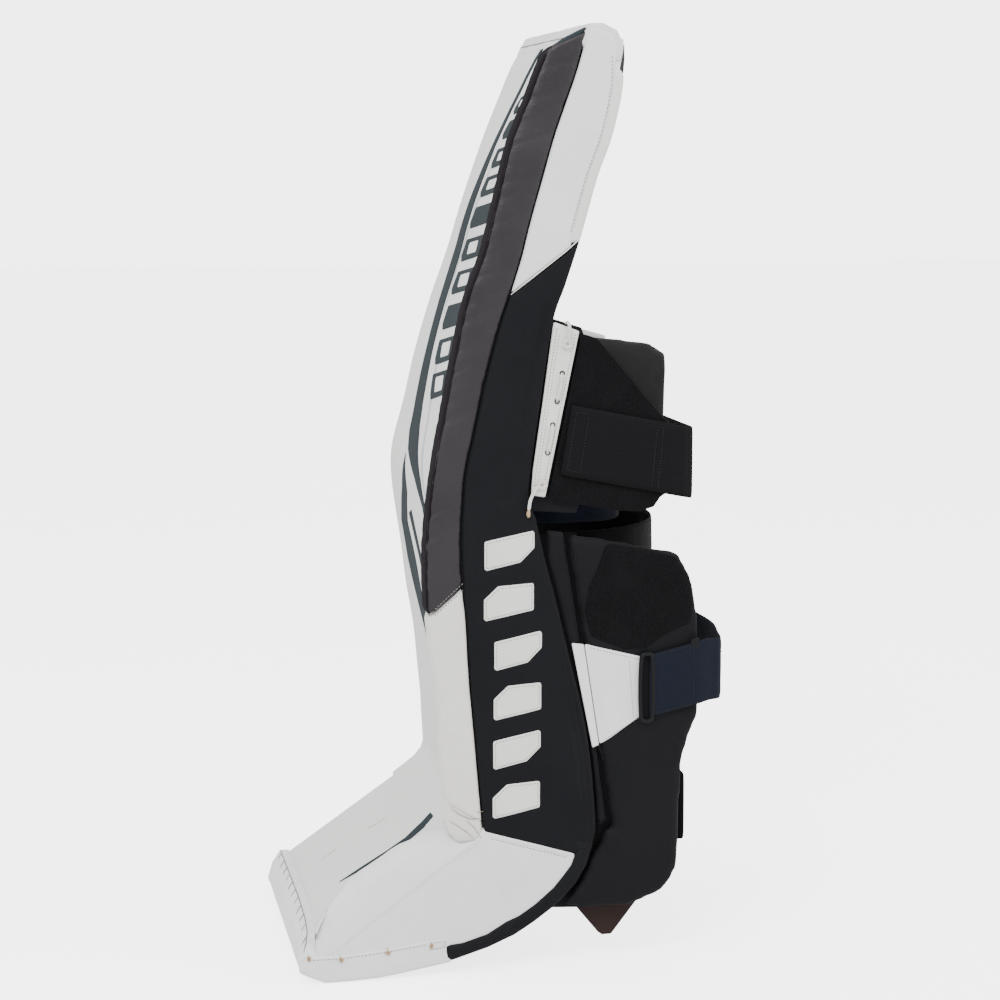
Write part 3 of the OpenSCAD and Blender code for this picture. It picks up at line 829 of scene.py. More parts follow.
def end_round(n, step, r=5.0, kmin=0.86):
    """Scale of each section so that both ends close softly."""
    k = np.ones(n)
    for i in range(n):
        d = min(i, n - 1 - i) * step
        if d < r:
            k[i] = kmin + (1 - kmin) * math.sqrt(max(0.0, 1 - (1 - d / r) ** 2))
    return k


# ------------------------------------------------------------------ leg: the face
face_flat = ysheet(FACE_S, -1)


def face_bumps(u, v):
    e = 0.5 * fbm(u, v, 90, 2.1, 2)
    # a soft hollow across the knee, where the face bends
    e = e - 0.8 * np.exp(-((v - 430) / 16) ** 2)
    return e


# the face's leather is darker than the sides': painted shade
leg_face, leg_top = panel("leg_face", rounded([[-HW, 146], [107, 146], [107, 846], [100, 854], [-128, 854], [-HW, 840]], 6),
                          face_flat, r=5.5, puff=1.2, reach=18, pitch=5.0, back=9, flat_back=True, bumps=face_bumps,
                          base=lambda u, v: np.full(len(u), -6.2),
                          grooves=[([[-120, 846], [98, 846]], 0.5, 1.0), ([[86, 156], [88, 300], [90, 420]], 0.45, 0.9)])
paint(leg_face, "face_white_painted_shade", "leg_section", "white_leather")


def inlay(name, pts, mat="graphic", lift=0.45, r=0.35, pitch=4.0, rad=0.6, sheet=None, slot="graphic_grey", body="leg_section"):
    s = sheet or leg_top
    o, t = panel(name, rounded(pts, rad), Sheet(s.place), r=r, pitch=pitch, back=1.0, flat_back=True, base=lambda u, v: s.top(u, v) + lift - r)
    return paint(o, mat, body, slot)



inlay("face_stripe", [[-18.8, 852.5], [-25.4, 843.6], [-28, 827], [-36.3, 807.3], [-47, 788.3], [-54.5, 770.7], [-61.5, 754.6], [-71, 730.8], [-79, 704.9], [-84, 673.5], [-82, 643.8], [-74, 615], [-68, 590],
                      [-63, 559], [-58, 512], [-48.4, 482.3], [-30, 465.5], [24, 444.5], [57, 423], [84, 380], [90, 380], [72, 424], [55, 447], [20, 470], [-5, 492], [-17, 512], [-31, 559], [-38, 600],
                      [-46, 640], [-53, 673], [-52, 704], [-49, 729.8], [-46.6, 753.8], [-41, 770], [-35.2, 787.5], [-24.9, 806.4], [-17.4, 826.1], [-14.9, 842.6], [-13, 852.5]], lift=0.75)
inlay("face_blade", [[-40, 462], [-62, 424], [-96, 388], [-88, 352], [-60, 318], [-38, 284], [-6, 262], [10, 244], [22, 262], [-8, 288], [-16, 320], [-30, 352], [-52, 392], [-30, 424], [-33, 440]])
inlay("face_spike", [[8, 300], [32, 232], [74, 166], [56, 240], [34, 296]])
inlay("face_blade_sliver", [[-34, 404], [-14, 376], [14, 330], [26, 322], [6, 372], [-14, 410]])
inlay("face_line", [[-30.5, 742], [-36, 712], [-40, 690], [-40, 640], [-26, 596], [-28, 596], [-44, 640], [-44, 690], [-39, 714]], "graphic_light", rad=0, lift=0.6)
inlay("face_line_low", [[2, 560], [40, 480], [86, 430], [86, 426], [38, 472], [-3, 556]], "graphic_light", rad=0)
LOZ = [([-17.4, 798.1], [15.3, 803.7], [24.1, 787.9], [-24.2, 782.4]), ([-26.2, 775.9], [26.4, 781.5], [31.7, 765.1], [-31.3, 759.2]), ([-32.8, 749.7], [34.5, 755.8], [36.1, 738.7], [-33.8, 732.1]),
       ([-35.7, 723.4], [36.9, 730.3], [38.5, 712.4], [-37.7, 704.8]), ([-39.9, 695.0], [40.9, 703.0], [41.9, 684.2], [-41.5, 675.3]), ([-40.1, 664.5], [42.4, 673.8], [45.3, 654.3], [-36.8, 644.2]),
       ([-31.6, 634.3], [48.6, 644.9], [56.8, 624.8], [-27.5, 613.6]), ([-22.3, 602.9], [60.6, 614.5], [65.9, 593.7], [-17.9, 581.2]), ([-14.7, 571.3], [68.3, 584.1], [75.1, 562.6], [-7.0, 549.1]),
       ([-4.5, 540.0], [77.7, 554.0], [78.5, 531.2], [10.3, 518.0])]
for i, q in enumerate(LOZ):
    # plain slanted lozenges beside the roll, most with a pale core
    a_, b_, c_, d_ = [np.array(p, float) for p in q]
    b_, c_ = b_ + [20, 1.6], c_ + [20, 1.6]
    pts = [a_ + [5, 0.5], b_, c_, d_ + [7, 0], d_ + [0, 5]]
    inlay("face_lozenge_%d" % (i + 1), [p.tolist() for p in pts], "graphic", rad=2.5, lift=0.75)
    w_ = (b_ - a_), (c_ - d_)
    core_ = [a_ + w_[0] * 0.24 + [0, -4.6], a_ + w_[0] * 0.58 + [0, -4.6], d_ + w_[1] * 0.58 + [0, 4.6], d_ + w_[1] * 0.24 + [0, 4.6]]
    if i % 3 != 1:
        inlay("face_lozenge_core_%d" % (i + 1), [p.tolist() for p in core_], "face_white_painted_shade", lift=1.15, rad=2.0, slot="white_leather")

m = Mat("roll_shade")
sep = m.n("ShaderNodeSeparateXYZ")
m.link(m.co, sep.inputs[0])
g = m.range(m.math("ADD", sep.outputs[0], m.math("MULTIPLY", m.noise(30, 2), 0.004)), 0.084, 0.1055, 0.0, 1.0)
m.put(color=m.ramp(g, [(0.0, (0.80, 0.81, 0.81)), (0.45, (0.42, 0.46, 0.47)), (0.85, (0.07, 0.10, 0.11)), (1.0, (0.02, 0.03, 0.035))]), rough=m.range(m.noise(0.5, 2), 0.3, 0.7, 0.34, 0.46))
m.bump((m.noise(0.5, 3), 0.05, 0.4))
M["shade"] = m.m
inlay("face_shade", [[86, 332], [86, 560], [86, 700], [84, 800], [72, 846], [106, 846], [106.5, 800], [106.5, 560], [106.5, 332]], "shade", lift=0.25, r=0.2, rad=1.0)

# ------------------------------------------------------------------ leg: the outer roll, in two colours
FR, BR = np.array(ROLL_F, float), np.array(ROLL_B, float)


def run(curve, z0, z1, n):
    c = np.array(spline(curve, 2.0))
    c = c[(c[:, 1] >= z0 - 0.01) & (c[:, 1] <= z1 + 0.01)]
    s = np.r_[0, np.cumsum(np.linalg.norm(np.diff(c, axis=0), axis=1))]
    u = np.linspace(0, s[-1], n)
    return np.stack([np.interp(u, s, c[:, 0]), np.interp(u, s, c[:, 1])], -1)


def roll(name, f0, f1, b0, b1, n, mat, slot, amp, k0=0.9, k1=0.9, seed=1.0):
    f, b = run(ROLL_F, f0, f1, n), run(ROLL_B, b0, b1, n)
    step = (f1 - f0) / n
    ks = end_round(n, step, 3.0, 0.93)
    rows = []
    for i in range(n):
        o = np.array([(HW + 109.0) / 2, (f[i, 0] + b[i, 0]) / 2, (f[i, 1] + b[i, 1]) / 2])
        rows.append((o, np.array([(HW - 109.0) / 2 + 0.3, 0, 0]), np.array([0, (b[i, 0] - f[i, 0]) / 2, (b[i, 1] - f[i, 1]) / 2]), ks[i]))
    wr = [(rng.uniform(0, 1), rng.uniform(0.5, 1.0), rng.uniform(2.0, 4.5), rng.uniform(-0.3, 0.3)) for _ in range(int(n * step / 9))]

    def wob(i, loop, o):
        t = i / (n - 1)
        d = np.zeros(len(loop))
        q = (loop[:, 1] - o[1]) / 18.0
        for c, a, w, sl in wr:
            d -= amp * a * np.exp(-(((t - c) * n * step + sl * q * 12) / w) ** 2)
        d += 0.6 * amp * fbm(loop[:, 1] + o[2] * 3, loop[:, 2] * 1.0, 22, seed, 2)
        face_out = np.clip((loop[:, 0] - o[0]) / 14.0, -1, 1)
        v = np.stack([face_out * d, -0.6 * d * np.clip(-(loop[:, 1] - o[1]) / 16, 0, 1), 0 * d], -1)
        # a soft swell across the outer face
        v[:, 0] += 1.1 * np.clip(1 - (q * 1.1) ** 2, 0, 1) * (face_out > 0.5)
        return v
    o = loft(name, rect_sections(rows, 56, 6.5, wob))
    return paint(o, mat, "leg_section", slot)


roll_upper = roll("outer_roll_upper", 335.2, 838, 361.6, 853.5, 172, "dark_roll", "dark_leather", 0.55, seed=4.2)
# the boxed roll's side towards the face takes a darker copy of the same leather: painted shade
roll_upper.data.materials.append(M["roll_front"])
for f in roll_upper.data.polygons:
    if f.center.x < 0.1333:
        f.material_index = 1
roll_lower = roll("outer_roll_lower", 162, 334.3, 139.5, 360.6, 64, "cream", "cream_leather", 0.28, seed=8.7)
# the welt that runs up the roll's front corner, in the darker leather that paints the front's shade
fw = run(ROLL_F, 336, 836, 200)
welt = tube("roll_welt", [[HW - 1.6, p[0] + 1.9, p[1]] for p in fw], 0.9, 8)
paint(welt, "roll_front", "leg_section", "dark_leather")
side136 = side_sheet(HW + 0.9)
paint(join([stitches("a", [[-33, 336], [-5.5, 359.5]], side136, 3.2, 2.0, 0.4, 0.1),
            stitches("b", [[-32.5, 341.5], [-5.6, 365.5]], side136, 3.2, 2.0, 0.35, 0.2)], "roll_seam_stitch"), "thread_grey", "leg_section", "lace")
# seams of the lower white roll at its mitred foot
inner_line = tube("roll_seam_line", [[HW + 0.35, p[0], p[1]] for p in [(-19, 172), (-8, 160), (4, 152), (12, 153)]], 0.5, 6)
paint(inner_line, "thread_tan", "leg_section", "tan_lace")

# ------------------------------------------------------------------ leg: outer side
t_out = side_sheet(HW - 3.0)
top_outline = [[38.2, 623.2], [87.5, 660.0], [92.5, 664.3]] + [[p[0] - 8.6, p[1]] for p in part_of(SIDE_S, 676, 815)][1:] + [[133.0, 826], [134.5, 838], [130, 850], [113, 857.5], [108, 855]] + \
    [[p[0] + 0.6, p[1]] for p in reversed(part_of(smooth_curve(ROLL_B), 632, 848))]
side_top, side_top_s = panel("outer_side_top", rounded(top_outline, 1.2), t_out, r=3.0, puff=0.9, reach=14, pitch=4.5, flat_back=True, back=1.0,
                             bumps=lambda u, v: 0.55 * fbm(u, v, 38, 3.3, 3))
paint(side_top, "side_white", "leg_section", "white_leather")
strip_outline = [[p[0] - 9.6, p[1]] for p in part_of(SIDE_S, 667, 818)] + [[p[0] + 1.0, p[1]] for p in reversed(part_of(SIDE_S, 669, 814))]
side_strip, side_strip_s = panel("outer_side_back_strip", rounded(strip_outline, 1.0), side_sheet(HW - 3.2), r=2.6, puff=0.4, reach=6, pitch=3.5, flat_back=True, back=1.0,
                                 bumps=lambda u, v: 0.7 * fbm(u * 1.5, v, 11, 9.3, 3))
paint(side_strip, "patch", "leg_section", "cream_leather")
fill, _ = panel("outer_side_corner_back", rounded([[126.5, 811], [139.0, 811], [140.0, 828], [139.6, 846], [131.5, 846]], 1.0), side_sheet(HW - 3.9), r=2.2, pitch=3, flat_back=True, back=1)
paint(fill, "side_white", "leg_section", "white_leather")
tri, _ = panel("outer_side_corner", rounded([[135.0, 819.4], [139.4, 814.6], [140.6, 828], [140.3, 842], [138.9, 837], [136.9, 829]], 0.6), side_sheet(HW - 3.4), r=2.4, pitch=3, flat_back=True, back=1)
paint(tri, "dark_roll", "leg_section", "dark_leather")
seam_line = [[p[0] - 10.4, p[1]] for p in part_of(SIDE_S, 676, 832)]
paint(join([stitches("a", seam_line, side_top_s, 3.4, 2.3, 0.33, 0.15),
            stitches("b", [[p[0] + 2.5, p[1] + 0.5] for p in part_of(smooth_curve(ROLL_B), 640, 846)], side_top_s, 60, 1.0, 0.2, 0)], "side_top_stitch"), "thread_grey", "leg_section", "lace")
paint(tube("side_diagonal_seam", [[HW + 0.1, p[0], p[1]] for p in [(37.8, 622.6), (60, 639.5), (88, 660.8), (99.8, 670.8)]], 0.8, 8), "cream", "leg_section", "cream_leather")

blk = [[13.6, 132.4], [60, 118.2], [97.5, 106.6], [103, 112]] + part_of(SIDE_S, 116, 418, -2.0)[1:-1] + part_of(SIDE_S, 419, 672, 0.6) + [[97.5, 668.0], [88.6, 659.6], [37.8, 622.0]] + \
    [[p[0] + 0.7, p[1]] for p in reversed(part_of(smooth_curve(ROLL_B), 142, 610))]
FOLDS = [([[46, 470], [52, 520], [60, 565], [70, 610]], 2.4, 3.2), ([[38, 452], [44, 500], [55, 560]], 1.4, 4.0), ([[30, 440], [34, 500], [44, 560]], 0.8, 5.0),
         ([[62, 612], [78, 640]], 0.7, 3.0), ([[100, 250], [92, 292], [80, 340], [66, 392]], 0.8, 2.2), ([[104, 160], [102, 205], [94, 250]], 0.7, 2.5),
         ([[20, 410], [26, 436], [44, 446]], 0.6, 3.0), ([[14, 150], [40, 140], [80, 130]], 0.35, 3.0)]
side_blk, side_blk_s = panel("outer_side_panel", rounded(blk, 1.0), side_sheet(HW - 3.0), r=2.8, puff=1.0, reach=12, pitch=4.2, flat_back=True, back=1.0,
                             grooves=FOLDS, bumps=lambda u, v: 0.8 * fbm(u * 1.4, v, 46, 5.5, 3))
paint(side_blk, "nylon", "leg_section", "black_nylon")

# six stitched bars down the panel: plain slanted patches with one corner cut
BARS = []
for i in range(6):
    z0 = 148 + i * 46.0
    yb = 11 + i * 0.5 - (4 if i > 3 else 0)
    y0, y1 = (yb + 10, yb + 54.0) if i < 4 else (yb + 4, yb + 50.0)
    if i % 2 == 0:
        o = [[y0, z0 - 3], [y1, z0 + 6], [y1, z0 + 31], [y0 + 13, z0 + 29], [y0, z0 + 17]]
    else:
        o = [[y0, z0 - 3], [y1 - 13, z0 + 4], [y1, z0 + 17], [y1, z0 + 33], [y0, z0 + 24]]
    BARS.append(o)
    b, bs = panel("side_bar_%d" % (i + 1), rounded(o, 2.4), Sheet(side_blk_s.place), r=0.7, puff=0.35, reach=4, pitch=3.0, flat_back=True, back=0.8,
                  base=lambda u, v: side_blk_s.top(u, v) - 0.1, bumps=lambda u, v: 0.35 * fbm(u, v, 7, 2.0, 2))
    paint(b, "patch", "leg_section", "cream_leather")
    c = np.array(o).mean(0)
    q = rounded(o, 2.0, 1.0)
    ar = 0.5 * np.sum(q[:, 0] * np.roll(q[:, 1], -1) - np.roll(q[:, 0], -1) * q[:, 1])
    t = np.roll(q, -1, 0) - np.roll(q, 1, 0)
    t /= np.linalg.norm(t, axis=1)[:, None] + 1e-9
    nrm = np.stack([-t[:, 1], t[:, 0]], -1) * (1 if ar > 0 else -1)
    q = q + nrm * 2.0
    q = q[inside(q, np.array(o)) & (dist_line(q, np.array(o), True) > 1.7)]
    st = stitches("side_bar_stitch_%d" % (i + 1), q, bs, 3.1, 2.0, 0.30, 0.12, closed=True)
    if st:
        paint(st, "thread_grey", "leg_section", "lace")

# ------------------------------------------------------------------ leg: binding folds down the back edge of the outer side
back_run = part_of(SIDE_S, 110, 430)


def bind_k(z):
    return float(np.interp(z, [110, 130, 250, 330, 430], [0.92, 1.0, 1.0, 0.72, 0.30]))


def bind_line(off, z0=112, z1=428):
    return [[p[0] - off * bind_k(p[1]), p[1] - (0.10 * off if p[1] < 125 else 0)] for p in back_run if z0 <= p[1] <= z1]


lb_o = [[p[0], p[1]] for p in back_run] + list(reversed(bind_line(18.5, 108, 431)))
leg_bind, leg_bind_s = panel("leg_binding_1", rounded(lb_o, 1.5), side_sheet(HW - 3.0), r=4.3, puff=0.5, reach=5, pitch=1.7, flat_back=True, back=7,
                             grooves=[(bind_line(5.2), 2.0, 2.0), (bind_line(10.2, 114, 420), 1.8, 1.9), (bind_line(14.6, 118, 380), 1.1, 1.7)],
                             bumps=lambda u, v: 0.35 * fbm(u * 1.5, v, 30, 8.5, 3) - 0.9 * np.clip((depth(SIDE_S, v) - u) / 18.0, 0, 1))
paint(leg_bind, "nylon_fold", "leg_section", "black_nylon")

# ------------------------------------------------------------------ leg: inner side, back, top, and the closed body under the covers
inner_outline = [[p[0] + 5.5, p[1]] for p in part_of(FACE_S, 146, 846)] + [[112, 856], [136, 850]] + list(reversed(part_of(SIDE_S, 112, 836)))
inner_side, inner_s = panel("inner_side_panel", rounded(inner_outline, 2.0), side_sheet(-HW + 4.0, -1), r=3.8, puff=0.9, reach=14, pitch=6.5, flat_back=True, back=1.5,
                            bumps=lambda u, v: 0.8 * fbm(u, v, 60, 7.5, 3), grooves=[([[20, 300], [84, 316]], 0.6, 1.2), ([[40, 600], [84, 612]], 0.6, 1.2)])
paint(inner_side, "side_white", "leg_section", "white_leather")
paint(join([stitches("a", [[18, 304], [82, 320]], inner_s, 3.6, 2.4, 0.35, 0.15), stitches("b", [[38, 604], [82, 616]], inner_s, 3.6, 2.4, 0.35, 0.15)], "inner_side_stitch"), "thread_grey", "leg_section", "lace")


def body_rows(x0, x1, zs, yf, yb):
    rows = []
    for z in zs:
        a, b = yf(z), yb(z)
        rows.append((np.array([(x0 + x1) / 2, (a + b) / 2, z]), np.array([(x1 - x0) / 2, 0, 0]), np.array([0, (b - a) / 2, 0]), 1.0))
    return rows


zs = np.linspace(141, 850, 100)
leg_body = loft("leg_body", rect_sections(body_rows(-HW + 4.5, HW - 4.2, zs, lambda z: max(float(depth(FACE_S, z)) + 6.5, -18 + abs(z - 430) * 0.0), lambda z: float(depth(CORE_S, z)) + 0.4), 60, 14))
paint(leg_body, "nylon_wing", "leg_section", "black_nylon")
back_flat = ysheet(CORE_S, 1)
thigh_back, thigh_s = panel("thigh_back_panel", rounded([[-HW + 5, 600], [HW - 5, 600], [HW - 5, 834], [-HW + 5, 834]], 8), back_flat, r=3.0, puff=1.5, reach=20, pitch=7, flat_back=True, back=0.5,
                            bumps=lambda u, v: 0.9 * fbm(u, v, 55, 1.5, 3), grooves=[([[-120, 640], [120, 640]], 0.8, 1.5), ([[-120, 700], [120, 700]], 0.8, 1.5), ([[-120, 765], [120, 765]], 0.8, 1.5)])
paint(thigh_back, "nylon_wing", "leg_section", "black_nylon")
thigh_strip, thigh_strip_s = panel("thigh_back_strip", rounded([[HW - 26, 672], [HW - 5, 672], [HW - 5, 832], [HW - 26, 832]], 3), Sheet(back_flat.place), r=1.2, puff=0.5, pitch=5, flat_back=True, back=0.8,
                                   base=lambda u, v: thigh_s.top(u, v), bumps=lambda u, v: 0.3 * fbm(u, v, 16, 1.5, 3))
paint(thigh_strip, "patch", "leg_section", "cream_leather")

# the wrap over the top end
prof = rounded([[100, 843], [104.5, 851.5], [109, 859.2], [121, 859.7], [134, 853.5], [139.5, 842], [138.5, 826], [112, 824]], 3.0, 1.5)
prof = resample(prof, 2.2, True)
xs = np.r_[np.array([-HW, -HW + 0.4, -HW + 1.4, -HW + 3.2]), np.linspace(-HW + 6, 128, 50), np.array([131, HW - 5, HW - 2.6, HW - 1.0, HW - 0.4])]
kk = np.r_[np.array([0.80, 0.88, 0.95, 0.985]), np.ones(50), np.array([1.0, 0.99, 0.965, 0.93, 0.86])]
pc = np.array([118, 842.0])
secs = []
for x, k in zip(xs, kk):
    w = 0.5 * fbm(np.full(len(prof), x * 1.0), prof[:, 0] + prof[:, 1], 26, 3.0, 2)
    p2 = pc + (prof - pc) * k
    nn = (prof - pc) / np.linalg.norm(prof - pc, axis=1)[:, None]
    p2 = p2 + nn * np.minimum(w, 0.3)[:, None]
    secs.append(np.stack([np.full(len(prof), x), p2[:, 0], p2[:, 1]], -1))
top_cap = loft("top_cap", secs)
paint(top_cap, "face_white_painted_shade", "leg_section", "white_leather")
paint(tube("top_cap_seam", [[x, 103.6, 850.2] for x in np.linspace(-HW + 6, 106, 60)], 0.5, 6), "thread_grey", "leg_section", "lace")
# dark gap strip between the wrap and the mitred roll top
gap, _ = panel("roll_top_gusset", rounded([[72, 836], [90, 848], [106, 856], [108.5, 853.5], [100, 846], [76, 831.5]], 1.0), side_sheet(HW - 9), r=7.5, pitch=3, flat_back=True, back=18)
paint(gap, "graphic", "leg_section", "graphic_grey")

# ------------------------------------------------------------------ boot
BF = [[-141, 40.5], [-137, 43.2], [-10, 131], [1, 142.6], [3, 146]]
BOOT_LOW = [[-148.9, 14.2], [-134, 1.5], [-84, 1.5], [-17, 12], [17.4, 22], [42.4, 32.4], [60.2, 43.4], [76.6, 55], [87.9, 65], [99.5, 79.5], [102, 85], [98, 93]]
BIND_IN = [[-30, 28.8], [-21.5, 28.9], [-7.9, 30.2], [14.8, 36.9], [32.4, 47.2], [45, 52.7], [60.1, 62.6], [77.7, 77.5], [86.6, 88.4], [94.1, 98.2], [96.6, 104.7]]
BIND_OUT = [[-26, 10.4], [-12.8, 13.6], [17.4, 22.6], [42.4, 33.0], [60.2, 44.0], [76.6, 55.7], [87.9, 65.8], [100.5, 79.2], [110.6, 96.5], [116.2, 115.9]]
ZT = [[-140, 50], [-137, 56], [-127, 71], [-99, 95], [-62, 118], [-34, 129.5], [-19, 132.5], [4, 131], [12, 129]]
ZR = [[-140, 20], [-118, 34], [-65, 74], [-20, 106], [13, 128.5]]


def zline(table, y):
    c = np.array(table, float)
    return np.interp(y, c[:, 0], c[:, 1])


def boot_place(u, v, h):
    z = zline(BF, v)
    return np.stack([u, v - h * 0.5686, z + h * 0.8225], -1)


boot_flat = Sheet(boot_place)
boot_face, boot_s = panel("boot_face", rounded([[-HW, -144], [128, -144], [112, -128], [96, -110], [89, -70], [88, -6], [70, 0.5], [-HW + 2, 0.5]], 5), boot_flat, r=5.0, puff=1.0, reach=18, pitch=5,
                          flat_back=True, back=5, base=lambda u, v: np.full(len(u), -5.8), bumps=lambda u, v: 0.5 * fbm(u, v, 70, 4.4, 2),
                          grooves=[([[-120, -9], [84, -14]], 0.8, 1.6)])
paint(boot_face, "face_white_painted_shade", "boot", "white_leather")
fine = []
for a in ([[-34.3, -24.8], [-34.8, -9.8]], [[-38.1, -68.9], [-33.4, -51.4]], [[-46.0, -114.2], [-45.9, -98.4]]):
    p = spline([a[0], [(a[0][0] + a[1][0]) / 2 + 2, (a[0][1] + a[1][1]) / 2], a[1]], 2)
    fine.append(tube("c", boot_s.on(p[:, 0], p[:, 1], 0.0), 0.38, 6))
paint(join(fine, "boot_face_tucks"), "thread_tan", "boot", "tan_lace")
inlay("boot_stripe", [[24, -2], [43, -2], [49, -13.8], [61, -29.5], [66, -47.7], [61, -67.5], [51.4, -89.9], [41.1, -110], [45, -89.1], [50.5, -66.1], [53.0, -45.8], [44.5, -28.4], [31, -13.1]], "graphic", sheet=boot_s, body="boot", rad=0.5, lift=0.7)

# the puffed roll along the outer edge of the boot
ys = np.r_[np.array([-141.5, -140.8, -139.5]), np.linspace(-137, 12, 62), np.array([13.6, 14.8, 15.4])]
ks = np.r_[np.array([0.80, 0.90, 0.97]), np.ones(62), np.array([0.97, 0.90, 0.8])]
secs = []
for y, k in zip(ys, ks):
    zf, zt, zr = float(zline(BF, y)), float(zline(ZT, y)), float(zline(ZR, y))
    xs0 = 88 + max(0.0, (-108 - y)) * 0.9
    hump = [[xs0, zf - 1.2], [xs0 + 2.5, zf + 1.5 + (zt - zf) * 0.18], [xs0 + 9, zf + (zt - zf) * 0.66], [xs0 + 18, zt - 2.2], [min(xs0 + 27, 124), zt - 0.2], [max(127.5, xs0 + 12), zt - 2.2 - (zt - zr) * 0.08],
            [132.5, zt - (zt - zr) * 0.42], [136.0, zt - (zt - zr) * 0.72], [137.6, zr + 2.0], [HW - 0.3, zr - 3], [HW - 5, zr - 8]]
    hump = np.array(spline(hump, 2.0))
    idx = np.linspace(0, len(hump) - 1, 40)
    hp = np.stack([np.interp(idx, np.arange(len(hump)), hump[:, q]) for q in (0, 1)], -1)
    low = np.stack([np.linspace(HW - 5, xs0, 14)[1:-1], np.interp(np.linspace(0, 1, 14)[1:-1], [0, 1], [zr - 8, zf - 3.5])], -1)
    loop = np.vstack([hp, low])
    w = fbm(np.full(len(loop), y), loop[:, 0] + loop[:, 1], 24, 6.0, 3) * 0.7
    crease = 0.0
    ctr = loop.mean(0)
    d = loop - ctr
    loop = ctr + d * k + d / np.linalg.norm(d, axis=1)[:, None] * (w * (loop[:, 1] > zf))[:, None]
    secs.append(np.stack([loop[:, 0], np.full(len(loop), y), loop[:, 1]], -1))
boot_roll = loft("boot_outer_roll", secs)
paint(boot_roll, "side_white", None, "white_leather")

side_o = [[12, 135], [13, 133]] and [[12.5, 136], [0, 122], [-20, 107.5], [-65, 75.5], [-118, 35.5], [-136, 24]] + BOOT_LOW[:3] + [[-22, 10.8], [-18.5, 20]] + [[p[0] + 2.2, p[1] - 2.6] for p in BIND_IN[1:-1]] + [[99.5, 104.5], [98, 109.5], [60, 121.5]]
boot_side, boot_side_s = panel("boot_side_outer", rounded(side_o, 1.5), side_sheet(HW - 4.2), r=3.9, puff=0.7, reach=12, pitch=4.5, flat_back=True, back=14,
                               bumps=lambda u, v: 1.0 * fbm(u, v, 34, 2.7, 3), grooves=[([[40, 30], [30, 70], [8, 110]], 0.7, 5.0), ([[-60, 20], [-34, 60], [-10, 90]], 0.5, 6.0)])
paint(boot_side, "side_white", None, "white_leather")
paint(tube("boot_ridge_seam", [[HW - 0.1, y, float(zline(ZR, y)) + 1.0] for y in np.linspace(-132, 11, 90)], 0.55, 6), "side_white", "boot", "white_leather")
seam = []
for y in np.linspace(-131, -8, 80):
    xs0 = 88 + max(0.0, (-108 - y)) * 0.9
    seam.append([xs0 - 0.3, y - 0.2, float(zline(BF, y)) + 0.15])
paint(tube("boot_seam", seam, 0.5, 6), "thread_tan", "boot", "tan_lace")
paint(join([stitches("a", [[18, 127.4], [60, 114.2], [92, 104.2]], boot_side_s, 3.4, 2.2, 0.35, 0.1),
            stitches("b", [[4, 121.5], [-3, 116]], boot_side_s, 2.5, 1.5, 0.3, 0.1)], "boot_side_stitch"), "thread_grey", "boot", "lace")
line = [[15, 131.6], [60, 117.6], [95.5, 106.4]]
for i, a in enumerate((0,)):
    paint(tube("boot_top_edge", [[HW + 0.1, p[0], p[1] - 0.6] for p in resample(line, 4)], 0.55, 8), "side_white", "leg_section", "white_leather")

inner_o = [[12, 136], [-10, 128.6], [-99, 67], [-136.8, 40.6]] + BOOT_LOW[:-2] + [[104, 88], [112, 101], [112.5, 112.5], [96, 117.5]]
boot_in, boot_in_s = panel("boot_side_inner", rounded(inner_o, 1.5), side_sheet(-HW + 4.2, -1), r=3.9, puff=0.9, reach=14, pitch=6, flat_back=True, back=14, bumps=lambda u, v: 0.9 * fbm(u, v, 40, 5.7, 3))
paint(boot_in, "side_white", None, "white_leather")
boot_body, _ = panel("boot_body", rounded([[1, 137.5], [-10, 126], [-136, 38.5], [-148.2, 14.4], [-108, 14.4], [-10, 82], [38, 103], [20, 124]], 2), side_sheet(HW - 13), r=1.5, pitch=14, flat_back=True, back=2 * HW - 26)
paint(boot_body, "nylon_wing", "boot", "black_nylon")

# the wrap over the toe: a thick gathered leather, deep enough to close against the boot
prof = np.array(resample(rounded([[-129, 57.0], [-138.0, 57.0], [-150.6, 37], [-158.2, 16], [-150.5, 8.2], [-134, -0.05], [-112, 0.1], [-112, 4], [-124, 18], [-128, 36]], 1.6, 0.8), 2.0, True))
pc = prof.mean(0)
xs = np.r_[np.array([-HW - 0.9, -HW - 0.5, -HW + 0.8]), np.linspace(-HW + 3, HW - 2.5, 110), np.array([HW - 1.2, HW - 0.2, HW + 0.3])]
kz = np.r_[np.array([0.965, 0.985, 0.997]), np.ones(110), np.array([0.995, 0.98, 0.955])]
top_z = [[-HW, 43.5], [20, 44.5], [80, 43], [112, 40], [128, 34], [HW, 27], [HW + 2, 26]]
secs = []
for x, k in zip(xs, kz):
    p = pc + (prof - pc) * k
    zt = float(np.interp(x, [q[0] for q in top_z], [q[1] for q in top_z]))
    f = np.clip((p[:, 1] - 20) / 37.0, 0, None)
    z = np.where(p[:, 1] > 20, 20 + f * (zt - 20), p[:, 1])
    y = p[:, 0] + np.where(p[:, 1] > 20, -(p[:, 1] - z) * 0.56, 0)
    g = 0.5 * np.sin(x / 4.3 + 1.3 * math.sin(x / 17)) * np.clip((p[:, 1] - 12) / 40, 0, 1) + 0.4 * fbm(np.full(len(p), x), p[:, 1], 12, 3.1, 2)
    y = y - 0.85 * np.clip(g, -0.8, 0.5) * (p[:, 0] < -136)
    if x > HW - 14:
        y = np.minimum(y, np.interp(z, [0, 14, 20, 60], [-112, -124, -137, -139]) - (x - HW + 14) * 0.25)
    secs.append(np.stack([np.full(len(p), x), y, z], -1))
toe_cap = loft("toe_cap", secs)
paint(toe_cap, "side_white", "boot", "white_leather")
seam_toe = []
